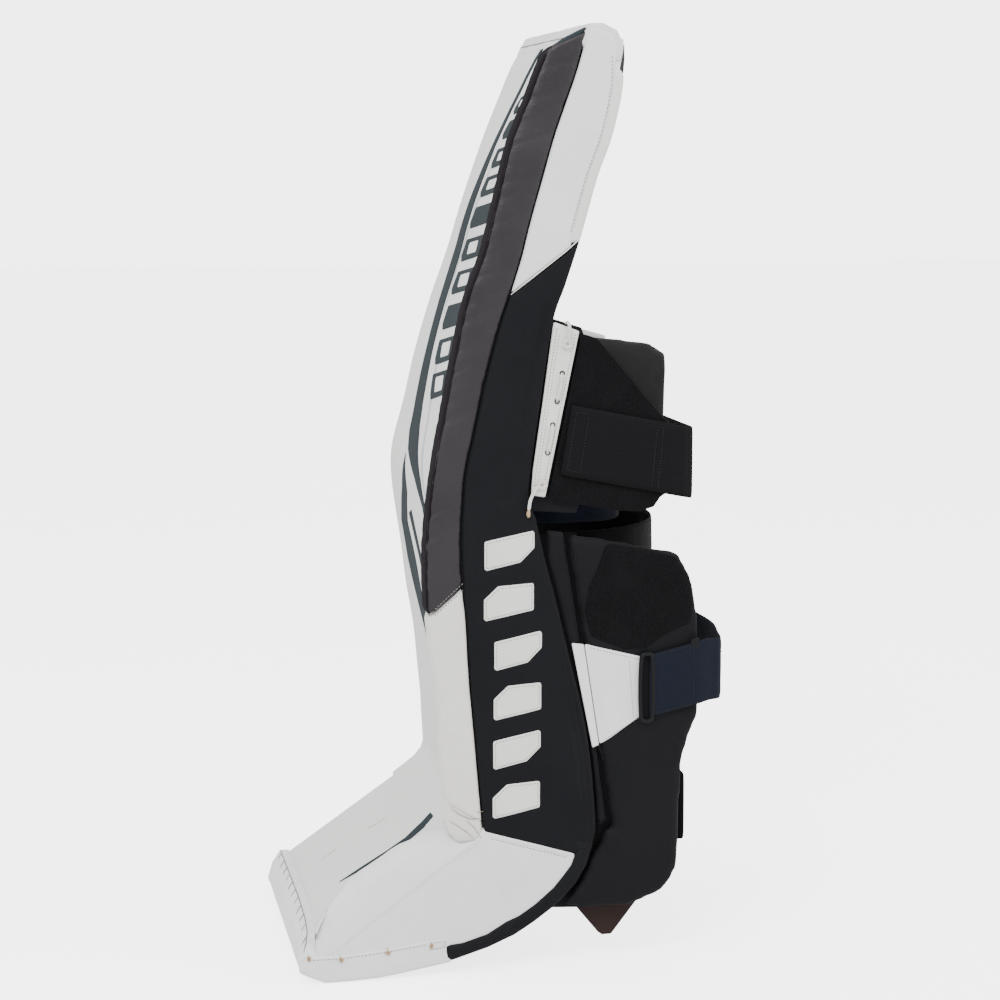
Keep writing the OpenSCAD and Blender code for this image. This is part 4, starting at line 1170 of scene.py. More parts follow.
for x in np.linspace(-HW + 2, HW - 3, 70):
    zt = float(np.interp(x, [q[0] for q in top_z], [q[1] for q in top_z]))
    seam_toe.append([x, -137.6 - (57 - zt) * 0.56, zt + 0.25])
paint(tube("toe_seam", seam_toe, 0.55, 6), "thread_grey", "boot", "lace")
band_o = [[-158.0, 14], [-156.6, 10.6], [-150, 7.0], [-134.5, 0.4], [-111.7, 0.3], [-84, 1.5], [-65.6, 4.0], [-17.3, 12.0], [-21.9, 27.9], [-21.8, 35.0], [-37.6, 34.2], [-65.4, 30.5], [-93.1, 27.7],
          [-120.5, 25.8], [-149.6, 26.2], [-154, 22]]
for s_, nm in ((1, "outer"), (-1, "inner")):
    band, band_s = panel("toe_band_" + nm, rounded(band_o, 1.5), side_sheet(s_ * (HW - 1.4), s_), r=2.5, puff=0.5, reach=7, pitch=3.0, flat_back=True, back=2.5, bumps=lambda u, v: 0.6 * fbm(u, v, 18, 6.6, 3))
    paint(band, "side_white", "boot", "white_leather")
    paint(stitches("toe_band_stitch_" + nm, [[-147, 23.2], [-120.5, 22.6], [-93, 24.6], [-65.4, 27.4], [-40, 30.6]], band_s, 3.4, 2.2, 0.42, 0.12), "thread_tan", "boot", "tan_lace")
    if s_ == 1:
        toe_band_s = band_s
patch_o = [[-38.5, 24.6], [-23.2, 26.6], [-22.6, 34.0], [-38.0, 33.2]]
keep_patch, kp_s = panel("toe_band_patch", rounded(patch_o, 0.8), Sheet(toe_band_s.place), r=0.7, pitch=2.0, flat_back=True, back=0.8, base=lambda u, v: toe_band_s.top(u, v) - 0.1)
paint(keep_patch, "patch", "boot", "cream_leather")
paint(stitches("toe_band_patch_stitch", [[-37, 26], [-24.4, 27.6], [-24.0, 32.8], [-36.6, 32.0]], kp_s, 2.4, 1.5, 0.32, 0.12, closed=True), "thread_tan", "boot", "tan_lace")
# white padding just under the covers of the boot
fill, _ = panel("boot_fill", rounded([[-146.5, 16], [-137, 36.5], [-10, 124], [8, 132], [12, 126], [-8, 112], [-118, 30], [-128, 15]], 2), side_sheet(HW - 7), r=1.5, pitch=14, flat_back=True, back=2 * HW - 14)
paint(fill, "side_white", "boot", "white_leather")


def knot(name, p, r=2.2, mat="tan", seed=0, nrm=(1, 0, 0)):
    """A small tied knot: three turned loops of thick thread."""
    rr = random.Random(seed)
    objs = []
    for q in range(3):
        a0 = rr.uniform(0, 3.1)
        pts = []
        for t in np.linspace(0, 2 * math.pi, 18, endpoint=False):
            y, z = math.cos(t) * r * (0.75 + 0.15 * q), math.sin(t) * r * 0.5
            pts.append([p[0] + 0.7 + 0.5 * math.sin(2 * t + q), p[1] + y * math.cos(a0) - z * math.sin(a0), p[2] + y * math.sin(a0) + z * math.cos(a0)])
        objs.append(tube("k", pts, 0.62, 6, closed=True))
    o = join(objs, name)
    return o


kn = []
for i, (y, z) in enumerate([(-149, 25.0), (-119.6, 22.0), (-76.6, 25.6), (-36.5, 29.0)]):
    kn.append(knot("k", (HW + 1.5, y, z), 1.9, seed=i))
    kn.append(tube("k", [[HW + 1.2, y + 0.3, z - 3.6], [HW + 2.0, y, z - 0.5], [HW + 1.9, y - 0.4, z + 2.2], [HW + 0.8, y - 0.6, z + 4.2]], 0.6, 6))
toe_knots = join(kn, "toe_knots")
paint(toe_knots, "tan", "boot", "tan_lace")
wh = []
for i in range(11):
    x = -122 + i * 24.0
    zt = float(np.interp(x, [q[0] for q in top_z], [q[1] for q in top_z]))
    y0 = -138.0 - (57 - zt) * 0.56
    wh.append(tube("w", [[x, y0 + 1.2, zt + 0.3], [x + 0.5, y0 - 0.8, zt - 0.2], [x + 1.2, y0 - 2.9, zt - 3.4], [x + 1.8, y0 - 4.4, zt - 6.6]], 0.5, 7))
toe_stitches = join(wh, "toe_stitches")
paint(toe_stitches, "thread_tan", "boot", "tan_lace")

# black binding folded over the low back edge, turning up to meet the leg's binding
bind_o = BIND_OUT + [[113.6, 117.5], [107, 116.5], [100.5, 112]] + list(reversed(BIND_IN))


def even(pts, n):
    """n points spaced evenly along a polyline."""
    c = np.array(pts, float)
    d = np.r_[0, np.cumsum(np.linalg.norm(np.diff(c, axis=0), axis=1))]
    u = np.linspace(0, d[-1], n)
    return np.stack([np.interp(u, d, c[:, 0]), np.interp(u, d, c[:, 1])], -1)


eo, ei = even(BIND_OUT, 30), even(BIND_IN, 30)
ln1, ln2 = (eo * 0.62 + ei * 0.38).tolist(), (eo * 0.25 + ei * 0.75).tolist()
binding, binding_s = panel("boot_binding_1", rounded(bind_o, 0.8), side_sheet(HW - 4.0), r=4.6, puff=0.9, reach=6, pitch=2.4, flat_back=True, back=5,
                           grooves=[(ln1[8:], 1.3, 1.6), (ln2[4:], 0.9, 1.5)], bumps=lambda u, v: 0.35 * fbm(u * 1.2, v, 24, 3.5, 3))
paint(binding, "nylon_fold", None, "black_nylon")
# the soft foot of the outer roll, tucked down into the boot's roll
ft = []
for f, b, k in (((-20, 166), (12, 143), 0.96), ((-20.5, 157), (12.3, 138.5), 0.985), ((-21.5, 148), (12.6, 134.5), 0.99), ((-21.5, 140), (12.8, 131.5), 0.99), ((-19, 132), (13.0, 129.0), 0.98), ((-14, 125), (12.8, 126.5), 0.9)):
    o_ = np.array([(HW + 108.0) / 2 + 0.2, (f[0] + b[0]) / 2, (f[1] + b[1]) / 2])
    ft.append((o_, np.array([(HW - 108.0) / 2 - 0.1, 0, 0]), np.array([0, (b[0] - f[0]) / 2, (b[1] - f[1]) / 2]), k))
foot_rows = []
for i in range(len(ft) - 1):
    for t in np.linspace(0, 1, 6)[: 6 if i == len(ft) - 2 else 5]:
        foot_rows.append(tuple(ft[i][q] * (1 - t) + ft[i + 1][q] * t for q in range(4)))
roll_foot = loft("roll_foot", rect_sections(foot_rows, 48, 5.0, lambda i, loop, o: np.stack([0.5 * fbm(loop[:, 1], loop[:, 2], 9, 4.4, 3), 0 * loop[:, 0], 0 * loop[:, 0]], -1)))
paint(roll_foot, "cream", None, "cream_leather")
seamf = join([tube("a", [[HW + 0.35, y, z] for y, z in ((-20, 160.5), (-11, 152), (0, 146.5), (10.5, 146))], 0.42, 6),
              tube("b", [[HW + 0.3, y, z] for y, z in ((-3, 145.0), (4, 138), (10, 128.5))], 0.42, 6),
              tube("c", [[HW + 0.3, y, z] for y, z in ((-20.5, 147), (-12, 141), (-3, 134.5), (4, 127))], 0.4, 6)], "roll_foot_seams")
paint(seamf, "thread_tan", None, "tan_lace")
# the leather that carries the face across the break into the boot
bprof = rounded([[-30, 117.6], [-16, 127.8], [-6.5, 135.3], [0.6, 143.5], [3.2, 152], [1.8, 176], [0.6, 200], [7, 200], [8.5, 150], [5, 139], [-5, 129], [-24, 115]], 1.5, 1.5)
bprof = resample(bprof, 2.0, True)
bx = np.r_[np.array([-HW + 0.2, -HW + 0.6, -HW + 2]), np.linspace(-HW + 5, 106, 40), np.array([108.5, 109.6, 110])]
bk = np.r_[np.array([0.97, 0.985, 0.995]), np.ones(40), np.array([0.995, 0.985, 0.97])]
bc = bprof.mean(0)
break_cover = loft("break_cover", [np.stack([np.full(len(bprof), x), *((bc + (bprof - bc) * k).T)], -1) for x, k in zip(bx, bk)], cap="flat")
paint(break_cover, "face_white_painted_shade", None, "white_leather")


def fpt(y, z):
    return (0.0, (y - YC) / 1000, z / 1000)


for nm in ("boot_side_outer", "boot_side_inner", "boot_outer_roll", "boot_binding_1", "roll_foot", "roll_foot_seams", "break_cover"):
    o = BY[nm]
    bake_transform(o, "leg_section", "boot", fpt(55, 118.5), fpt(44.3, 85))
REPL_BOOT = {"boot_body": ["boot_core"], "boot_face": ["boot_face_cover"], "boot_stripe": ["boot_stripe"], "boot_side_outer": ["boot_side_outer"], "boot_side_inner": ["boot_side_inner"],
             "toe_cap": ["toe_cap"], "toe_stitches": ["toe_stitches"], "toe_knots": ["toe_knots"], "boot_binding_1": ["boot_binding"]}

# ------------------------------------------------------------------ soft pieces and what lies on them
from mathutils.bvhtree import BVHTree


def ray_top(o, x0, sign=1.0):
    """Height above the plane X = x0 of a piece's outer surface, for drawing on it."""
    me = o.data
    tree = BVHTree.FromPolygons([v.co.copy() for v in me.vertices], [tuple(p.vertices) for p in me.polygons])

    def top(u, v):
        u, v = np.asarray(u, float), np.asarray(v, float)
        out = np.zeros(len(u))
        for i in range(len(u)):
            org = Vector(world(np.array([x0 + sign * 60.0, u[i], v[i]])))
            hit = tree.ray_cast(org, Vector((-sign, 0, 0)), 0.12)[0]
            out[i] = -3.0 if hit is None else (hit.x * 1000 + XC - x0) * sign
        return out
    return top


def pillow(name, x0, x1, outline, corner=4.0, puff=0.8, bumps=None, grooves=(), cap=3.0, pressure=3.0, shrink=1.2, r=None, voxel=4.5, soft=True):
    """A stuffed plate between two X planes, swelled by a cloth simulation."""
    t = (x1 - x0) / 2.0
    o, s = panel(name, rounded(outline, corner, 2.0), side_sheet((x0 + x1) / 2.0), r=r or t * 0.97, puff=puff, reach=16, pitch=5.0, back=1.0, bumps=bumps, grooves=grooves)
    if soft:
        puffed(o, voxel, cap, pressure, shrink)
    return o


def calf_line(z):
    return 86.5 + (420 - z) * 0.1563


def knee_line(z):
    return 102 + (z - 590) * 0.204


def ribbon(name, path, top, bottom, th=1.8, start_shear=0.0, wave=0.35, step=3.0, seed=1.0, rows=13):
    """A flat strap standing on edge: path is its line seen from above, top and bottom its heights by depth Y (or by run)."""
    p = np.array(path, float)
    p = resample(spline(p, 2.0), step)
    s = np.r_[0, np.cumsum(np.linalg.norm(np.diff(p, axis=0), axis=1))]
    n = len(p)
    tt = np.linspace(0, 1, rows)
    grid = np.zeros((n, rows, 3))
    nrm = np.zeros((n, rows, 3))
    for j, t in enumerate(tt):
        q = np.clip(s + start_shear * (t - 0.0) * np.clip(1 - s / (s[-1] * 0.5), 0, 1), 0, s[-1])
        x, y = np.interp(q, s, p[:, 0]), np.interp(q, s, p[:, 1])
        dx, dy = np.gradient(x), np.gradient(y)
        l = np.sqrt(dx * dx + dy * dy) + 1e-9
        nx, ny = dy / l, -dx / l
        zt, zb = top(s, y), bottom(s, y)
        z = zb + (zt - zb) * t
        w = wave * fbm(s, z, 40, seed, 2)
        grid[:, j] = np.stack([x + nx * w, y + ny * w, z], -1)
        nrm[:, j] = np.stack([nx, ny, 0 * nx], -1)
    edge = np.minimum(tt, 1 - tt)
    h = th / 2 * np.where(edge < 1e-6, 0.45, np.where(edge < 1.1 / (rows - 1), 0.95, 1.0))
    k = np.ones(n)
    k[0] = k[-1] = 0.5
    a = grid + nrm * (h[None, :, None] * k[:, None, None])
    b = grid - nrm * (h[None, :, None] * k[:, None, None])
    secs = [np.vstack([a[i], b[i][::-1]]) for i in range(n)]
    o = loft(name, secs)

    def place(u, v, hh):
        """u is the run along the strap, v from 0 at its lower edge to 1."""
        u, v, hh = np.asarray(u, float), np.asarray(v, float), np.asarray(hh, float)
        out = np.zeros((len(u), 3))
        for i in range(len(u)):
            f = np.interp(u[i], s, np.arange(n))
            i0 = int(min(f, n - 2))
            fr = f - i0
            g = v[i] * (rows - 1)
            j0 = int(min(max(g, 0), rows - 2))
            fj = g - j0
            P = (a[i0, j0] * (1 - fj) + a[i0, j0 + 1] * fj) * (1 - fr) + (a[i0 + 1, j0] * (1 - fj) + a[i0 + 1, j0 + 1] * fj) * fr
            out[i] = P + nrm[i0, j0] * hh[i]
        return out
    return o, Sheet(place), s[-1]


def strap_stitch(sh, pts, spacing=2.6, length=1.7, r=0.28, width=60.0):
    """Stitches on a strap; pts are (run mm, height mm above its lower edge)."""
    flat = Sheet(lambda u, v, h: sh.place(u, np.asarray(v) / width, h))
    return stitches("s", pts, flat, spacing, length, r, 0.12)


# ------------------------------------------------------------------ leg channel: bolsters, liner, cradle, knee block
for sg, nm in ((1, "outer"), (-1, "inner")):
    x0, x1 = (72.5, HW - 5.0) if sg > 0 else (-HW + 5.0, -72.5)
    zs = np.linspace(112, 436, 64)
    ks = end_round(64, 324 / 64, 14.0, 0.55)
    rows = []
    for z, k in zip(zs, ks):
        a = float(depth(CORE_S, max(z, 135))) + 0.5 if z > 134 else 50 + (134 - z) * 2.4
        b = float(depth(SIDE_S, z)) - 0.8
        b = max(b, a + 7.5)
        hx = (x1 - x0) / 2
        rows.append((np.array([(x0 + x1) / 2, (a + b) / 2, z]), np.array([hx * (0.9 + 0.1 * k), 0, 0]), np.array([0, (b - a) / 2, 0]), 1.0 if k > 0.98 else 0.9 + 0.1 * k))
    bol = loft(nm + "_bolster", rect_sections(rows, 40, 4.5, lambda i, loop, o: np.stack([0 * loop[:, 0], 0.5 * fbm(loop[:, 0], loop[:, 2], 60, 3, 2), 0 * loop[:, 0]], -1)))
    puffed(bol, 5.0, 2.0, 2.5, 1.2)
    paint(bol, "nylon_wing", "leg_section", "black_nylon")

liner_q = [([[-72, z], [72, z]], 1.6, 2.2) for z in (195, 242, 290, 338, 386)] + [([[x, 152], [x, 430]], 1.2, 2.2) for x in (-24, 24)]
liner, liner_s = panel("shin_liner", rounded([[-71.5, 152], [71.5, 152], [71.5, 431], [-71.5, 431]], 10), Sheet(back_flat.place), r=4.0, puff=3.2, reach=12, pitch=4.5, flat_back=True, back=0.5,
                       base=lambda u, v: np.full(len(u), 0.4), grooves=liner_q)
paint(liner, "mesh", "leg_section", "grey_mesh")
cr = [[49.8, 438], [51, 443], [52.6, 466], [61.6, 528], [70.8, 585], [71.6, 590]]
cradle, cradle_s = panel("knee_cradle", rounded([[-57, 444], [107, 444], [107, 583], [-57, 583]], 12), ysheet(cr, 1), r=6.5, puff=8.0, reach=14, pitch=5, flat_back=True, back=0.5,
                         grooves=[([[25, 452], [25, 575]], 2.5, 3.0), ([[-50, 514], [100, 514]], 2.0, 3.0)])
paint(cradle, "mesh", "leg_section", "grey_mesh")
kb, _ = panel("knee_block", rounded([[58.5, 450], [60, 467], [68.5, 528], [75.5, 573], [164, 551], [160, 500], [149, 454]], 7), side_sheet(-98.5, -1), r=13, puff=0, pitch=6, flat_back=True, back=24)
for v in kb.data.vertices:
    v.co.x = v.co.x
kbx = np.array([v.co.x for v in kb.data.vertices])
lo_, hi_ = kbx.min(), kbx.max()
for v in kb.data.vertices:
    f = (v.co.x - lo_) / (hi_ - lo_)
    v.co.x = (-136.2 - XC) / 1000 + f * 0.0752
puffed(kb, 5.5, 2.5, 3.0, 1.5)
paint(kb, "black_leather", "leg_section", "black_leather")
kt, _ = panel("knee_block_top", rounded([[74.6, 574.9], [77, 591], [176, 569.5], [167.5, 553]], 2.5), side_sheet(-64, 1), r=3.5, pitch=5, flat_back=True, back=69)
paint(kt, "side_white", "leg_section", "white_leather")
for sg, nm in ((1, "outer"), (-1, "inner")):
    c = 129.0 if sg > 0 else -131.0
    o, _ = panel(nm + "_wing_root", rounded([[119.5, 138], [124.3, 131], [calf_line(137) - 0.8, 137], [calf_line(408) - 0.8, 407], [73, 409], [72.5, 383], [82.5, 346], [93.5, 300], [105.2, 252], [114, 205], [119, 157]], 1.5),
                 side_sheet(c), r=4.4, pitch=4, back=1.0, edge_step=3)
    paint(o, "nylon_wing", "leg_section", "black_nylon")

wrb, _ = panel("wing_root_backing", rounded([[108, 218], [120, 218], [136, 168], [144, 142], [143, 120], [124, 120], [117, 160]], 1.5), side_sheet(122.0), r=1.6, pitch=4, flat_back=True, back=1)
paint(wrb, "nylon_wing", "leg_section", "black_nylon")

# crossing straps behind the top of the shin
pl = [[-HW + 9, 64], [-HW + 9, 110], [-90, 148.6], [-20, 154], [59, 156.6], [95, 137], [102.6, 100], [102.6, 64]]
us, us_s, usl = ribbon("upper_calf_strap", pl, lambda s, y: np.full(len(s), 429.6), lambda s, y: np.full(len(s), 411.4), 1.9, wave=0.5, seed=3.3, rows=9)
paint(us, "navy", "leg_section", "navy_elastic")
sl = [[100, 108], [99, 132], [90, 164], [62, 187], [20, 197], [-30, 196], [-68, 184], [-92, 160], [-100, 132], [-101, 108]]
sc, sc_s, scl = ribbon("shin_cross_strap", sl, lambda s, y: 401.5 + 5.5 * np.clip((y - 105) / 80, 0, 1), lambda s, y: 366.0 + 5.0 * np.clip((y - 105) / 80, 0, 1), 2.0, wave=0.7, seed=6.4, rows=9)
paint(sc, "elastic", "leg_section", "navy_elastic")
ed = []
for j in (0.02, 0.98):
    q = us_s.place(np.linspace(6, usl - 6, 120), np.full(120, j), np.full(120, 0.1))
    ed.append(tube("e", q, 0.55, 6))
paint(join(ed, "upper_strap_edges"), "thread_grey", "leg_section", "navy_elastic")

# ------------------------------------------------------------------ knee: lace strip and lace
ls_out = [[77, 598], [100.6, 589.2], [69.8, 440.2], [56.8, 442.4], [58.5, 466], [67.5, 528]]
strip, strip_s = panel("lace_strip", rounded(ls_out, 1.5), side_sheet(HW - 2.4), r=2.1, puff=0.35, reach=6, pitch=3.0, flat_back=True, back=1.2,
                       bumps=lambda u, v: 0.6 * fbm(u, v, 20, 8.8, 3), grooves=[([[66.4, 452], [94.6, 586]], -0.0, 2)])
paint(strip, "patch", "leg_section", "cream_leather")
paint(join([stitches("a", [[59.4, 450], [61.3, 466], [70.0, 528], [79.8, 593]], strip_s, 3.0, 1.9, 0.33, 0.1),
            stitches("a", [[62.2, 452], [64.0, 466], [72.8, 528], [82.0, 588]], strip_s, 3.0, 1.9, 0.26, 0.05),
            stitches("b", [[67.0, 446], [84.6, 528], [97.0, 588]], strip_s, 3.0, 1.9, 0.33, 0.1)], "lace_strip_stitch"), "thread_grey", "leg_section", "lace")


back_l, _ = panel("lace_strip_backing", rounded([[48, 428], [100, 424], [104, 441], [96, 470], [101, 520], [108, 580], [104, 592], [72, 602], [58, 528], [48, 466]], 2), side_sheet(HW - 8.5), r=1.2, pitch=5, flat_back=True, back=2.0)
paint(back_l, "nylon", "leg_section", "black_nylon")


def mid(z):
    return 65.5 + (z - 449) * 0.185


holes, lace = [], []
for z0, z1 in ((527, 552), (481, 506)):
    for z, ln in ((z0, 1), (z1, 0.8)):
        p = np.array([[HW + 0.05, mid(z) + 1.9 * math.cos(t), z + 2.2 * math.sin(t) * ln] for t in np.linspace(0, 2 * math.pi, 16, endpoint=False)])
        holes.append(tube("h", p, 0.7, 6, closed=True))
        holes.append(tube("h", [[HW - 2, mid(z), z], [HW + 0.12, mid(z), z]], 1.7, 10))
    q = spline([[HW - 1.2, mid(z0), z0], [HW + 1.3, mid(z0 + 3), z0 + 3], [HW + 1.9, mid((z0 + z1) / 2) + 0.5, (z0 + z1) / 2], [HW + 1.5, mid(z1 - 3), z1 - 3], [HW - 1.2, mid(z1), z1]], 1.5)
    lace.append(tube("l", q, 1.75, 10, flat=0.9))
paint(join(holes, "lace_holes"), "thread_black", "leg_section", "black_plastic")


def loop_knot(y, z, seed):
    rr = random.Random(seed)
    out = []
    for q in range(3):
        a0 = 0.6 + q * 1.1 + rr.uniform(-0.2, 0.2)
        pts = []
        for t in np.linspace(0, 2 * math.pi, 22, endpoint=False):
            yy, zz = math.cos(t) * 4.4, math.sin(t) * 2.3
            pts.append([HW + 0.9 + 0.45 * math.sin(2 * t + q * 2), y + yy * math.cos(a0) - zz * math.sin(a0), z + yy * math.sin(a0) + zz * math.cos(a0)])
        out.append(tube("k", pts, 1.1, 8, closed=True))
    return out


lace += loop_knot(89.0, 578, 3) + loop_knot(66.2, 452, 5)
lace.append(tube("l", spline([[HW + 1.4, 89.5, 580], [HW + 2.4, 90.6, 587], [HW + 2.0, 90.6, 594], [HW - 1.5, 89.8, 597], [HW - 6, 88, 596]], 1.5), 1.5, 10, flat=0.75))
lace.append(tube("l", spline([[HW + 1.5, 64.5, 452], [HW + 2.9, 59.5, 447.5], [HW + 3.2, 55.2, 439], [HW + 2.7, 53.6, 429]], 1.5), 1.55, 10, flat=0.75))
knee_lace = join(lace, "knee_lace")
paint(knee_lace, "lace", "leg_section", "lace")
paint(tube("lace_tip", spline([[HW + 2.7, 53.6, 429.6], [HW + 2.5, 53.4, 426], [HW + 2.4, 53.6, 423]], 1.0), 1.7, 10), "tan", "leg_section", "tan_lace")

# ------------------------------------------------------------------ knee wing, flap, strap
kw = pillow("knee_wing_pad", 115.0, 131.4, [[knee_line(587) + 1.5, 587], [167.5, 578.5], [185, 568.5], [186.3, 552], [184.3, 500], [179.3, 441], [knee_line(445) + 1.5, 445]], corner=6, puff=0.3,
            grooves=[([[167, 524], [176, 548], [181, 571]], 2.6, 2.2), ([[150, 578], [178, 560]], 0.8, 4)], cap=1.2, pressure=3, shrink=0.8)
paint(kw, "black_leather", "knee_wing", "black_leather")
flap_o = [[knee_line(587) + 1.5, 587], [117, 582.5], [140.5, 555], [165, 526.8], [184, 505], [195.7, 490], [193, 463], [189.6, 445.3], [177, 437.2], [171, 428.5], [157, 424.6], [134, 426.4], [knee_line(438) + 1.7, 438]]
flap, flap_s = panel("knee_flap", rounded(flap_o, 3.0), side_sheet(134.8), r=2.3, puff=0.0, pitch=4.2, back=1.0, bumps=lambda u, v: 0.55 * fbm(u, v, 46, 4.9, 3))
paint(flap, "pile", "knee_wing", "hook_pile")
hem = np.array([[knee_line(587) + 3, 586], [117, 581.5], [140, 554.5], [164.5, 525.8], [183.5, 503.8], [194.6, 489.8]])
paint(tube("knee_flap_hem", [[136.6 - 0.2, p[0], p[1]] for p in resample(hem, 3)], 0.85, 8), "elastic", "knee_wing", "black_elastic")

kpath = [[HW + 1.35, 80], [HW + 1.35, 120], [HW + 1.35, 160], [HW + 1.3, 192], [HW - 1.5, 202.5], [HW - 8, 207.2], [90, 207.3], [20, 207.3], [-50, 206.6], [-80, 194.5], [-107.5, 182.2]]


def k_top(s, y):
    return np.where(s < 130, 523.3 + (np.clip(y, 80, 206) - 93.5) * (-0.2017) , 500.6)


def k_bot(s, y):
    return np.where(s < 130, 461.2 + (np.clip(y, 80, 206) - 82.5) * (-0.2068), 435.6)


ks_, ks_s, ksl = ribbon("knee_strap", [[p[0], p[1] + (3.2 if i == 0 else 0)] for i, p in enumerate(kpath)], k_top, k_bot, 2.1, start_shear=10.5, wave=0.25, seed=5.1, rows=15)
paint(ks_, "elastic", "knee_strap", "black_elastic")
st = [strap_stitch(ks_s, pts, width=62.0) for pts in ([[5, 5], [5, 57], [17, 57], [17, 5], [5, 5]], [[84, 3], [84, 59]], [[90, 3], [90, 59]])]
paint(join(st, "knee_strap_stitch"), "thread_black", "knee_strap", "black_elastic")
keep, _ = panel("knee_strap_keeper", rounded([[178, 497], [188, 499.0], [199, 495.5], [207, 484.5], [207.5, 478], [199, 481], [186, 484]], 1.6), side_sheet(133.5), r=1.4, pitch=2.5, back=1.0)
paint(keep, "elastic", "knee_wing", "black_elastic")

# ------------------------------------------------------------------ outer calf wing, tab, ring, strap
wing_o = [[calf_line(408) + 1.5, 408], [122, 402.3], [174, 391.3], [195.5, 387.3], [209.3, 363], [214.5, 338], [216.3, 321], [218.3, 234], [209.3, 212.5], [202.6, 189], [201.5, 150], [201.3, 117], [199.3, 88.5], [192, 74],
          [183.5, 63.8], [163, 56], [153, 52], [106, 52.5], [88, 55], [88, 58], [94, 64.8], [100, 72], [105.2, 80.5], [109.6, 90], [113.2, 99.5], [117, 107], [122.5, 113], [124.8, 127],
          [calf_line(127) + 1.5, 129]]
wing = pillow("outer_calf_wing", 124.6, 136.6, wing_o, corner=7, puff=0.3, bumps=lambda u, v: 0.7 * fbm(u, v, 60, 3.9, 3), cap=0.9, pressure=2.5, shrink=0.6,
              grooves=[([[190, 205], [198, 150], [196, 90]], 0.9, 3.0)])
paint(wing, "nylon_wing", "outer_wing", "black_nylon")
gus, _ = panel("calf_wing_gusset", rounded([[124.5, 140], [118, 124], [110, 106], [102, 92], [95, 79], [86, 66.5], [75, 55], [77, 52.4], [106, 50.8], [132, 50.8], [140, 90], [138, 140]], 2), side_sheet(121.5), r=1.2, pitch=5, flat_back=True, back=2.0)
paint(gus, "nylon_wing", "outer_wing", "black_nylon")
wtop = ray_top(wing, 130.0)


def over_wing(base_lift):
    return lambda u, v: np.maximum(wtop(u, v), 4.0) + base_lift


wplane = side_sheet(130.0)
hook, hook_s = panel("calf_hook_pad", rounded([[126, 397], [150, 392.5], [173, 387.5], [192, 382.5], [206, 361.5], [209.5, 336], [207, 320], [195, 315.5], [178.4, 308], [165, 298.5], [145, 297.5], [113, 310.5], [106.5, 334], [110.5, 357], [120, 378]], 8), Sheet(wplane.place), r=1.0, pitch=4.0,
                     flat_back=True, back=1.2, base=over_wing(-0.3), bumps=lambda u, v: 0.35 * fbm(u, v, 9, 4.0, 3))
paint(hook, "pile", "outer_wing", "hook_pile")
tab, tab_s = panel("calf_tab", rounded([[calf_line(304) + 2.6, 304], [160.8, 290.3], [161.8, 236.2], [calf_line(209) + 2.6, 209]], 1.5), Sheet(wplane.place), r=0.9, puff=0.3, reach=6, pitch=3.2,
                   flat_back=True, back=1.4, base=over_wing(0.0), bumps=lambda u, v: 0.35 * fbm(u, v, 30, 6.0, 2))
paint(tab, "side_white", "outer_wing", "white_leather")
troot, troot_s = panel("calf_tab_root", rounded([[94.6, 305.8], [calf_line(304) + 1.8, 303.6], [calf_line(209) + 1.8, 208.8], [114.8, 206.6]], 1.0), side_sheet(HW - 4.5), r=1.2, puff=0.2, pitch=3.2, flat_back=True, back=1.0,
                         base=lambda u, v: 3.0 - 1.9 * np.clip((u - (calf_line(v) - 9)) / 9.0, 0, 1), bumps=lambda u, v: 0.3 * fbm(u, v, 30, 6.0, 2))
paint(troot, "side_white", "leg_section", "white_leather")
top_e, bot_e = [[calf_line(301) + 6, 300.8], [158.5, 287.9]], [[calf_line(212) + 6, 213.4], [163.5, 236.3]]
paint(join([stitches("a", top_e, tab_s, 3.0, 1.9, 0.3, 0.1), stitches("b", bot_e, tab_s, 3.0, 1.9, 0.3, 0.1), stitches("c", [[148.5, 288], [153, 233.5]], tab_s, 3.0, 1.9, 0.28, 0.08)], "calf_tab_stitch"),
      "thread_grey", "outer_wing", "lace")

ring_r = 2.0
rp = []
for t in np.linspace(0, 2 * math.pi, 64, endpoint=False):
    sx, sz = math.cos(t), math.sin(t)
    e = 0.75
    rp.append([HW + 3.2, 164.5 + 6.25 * np.sign(sx) * abs(sx) ** e, 262 + (25.5 * np.clip(sz * 1.6, -1, 1) + 6.0 * sz)])
ring = tube("calf_ring", rp, 2.0, 12, closed=True)
paint(ring, "plastic", "calf_strap", "black_plastic")
cpath = [[HW + 3.3, 167.6], [HW + 3.3, 185], [HW + 3.3, 206], [HW + 2.6, 215.5], [HW - 1, 227], [HW - 6.5, 236.6], [104, 242.5], [60, 250.6], [0, 249.5], [-60, 246.6], [-112.4, 222.6], [-119.6, 197]]


def c_top(s, y):
    return np.where(s < 75, np.interp(y, [160, 222, 240], [291, 305, 304]), 303.5)


def c_bot(s, y):
    return np.where(s < 75, np.interp(y, [160, 224, 240], [233, 247, 247.5]), 247.8)


cs_, cs_s, csl = ribbon("calf_strap", cpath, c_top, c_bot, 2.4, wave=0.3, seed=2.2, rows=15)
paint(cs_, "navy", "calf_strap", "navy_elastic")
paint(join([strap_stitch(cs_s, [[41, 2], [41, 54]], width=57.0), strap_stitch(cs_s, [[4, 2.0], [40, 2.0]], width=57.0), strap_stitch(cs_s, [[4, 55.0], [40, 55.0]], width=57.0)], "calf_strap_stitch"), "thread_black", "calf_strap", "navy_elastic")
tb, _ = panel("calf_strap_tab", rounded([[206, 305.5], [213.6, 307.5], [213.6, 288.5], [206, 286.5]], 1.5), side_sheet(HW + 3.6), r=0.6, pitch=2.5, back=1)
paint(tb, "plastic", "calf_strap", "black_plastic")

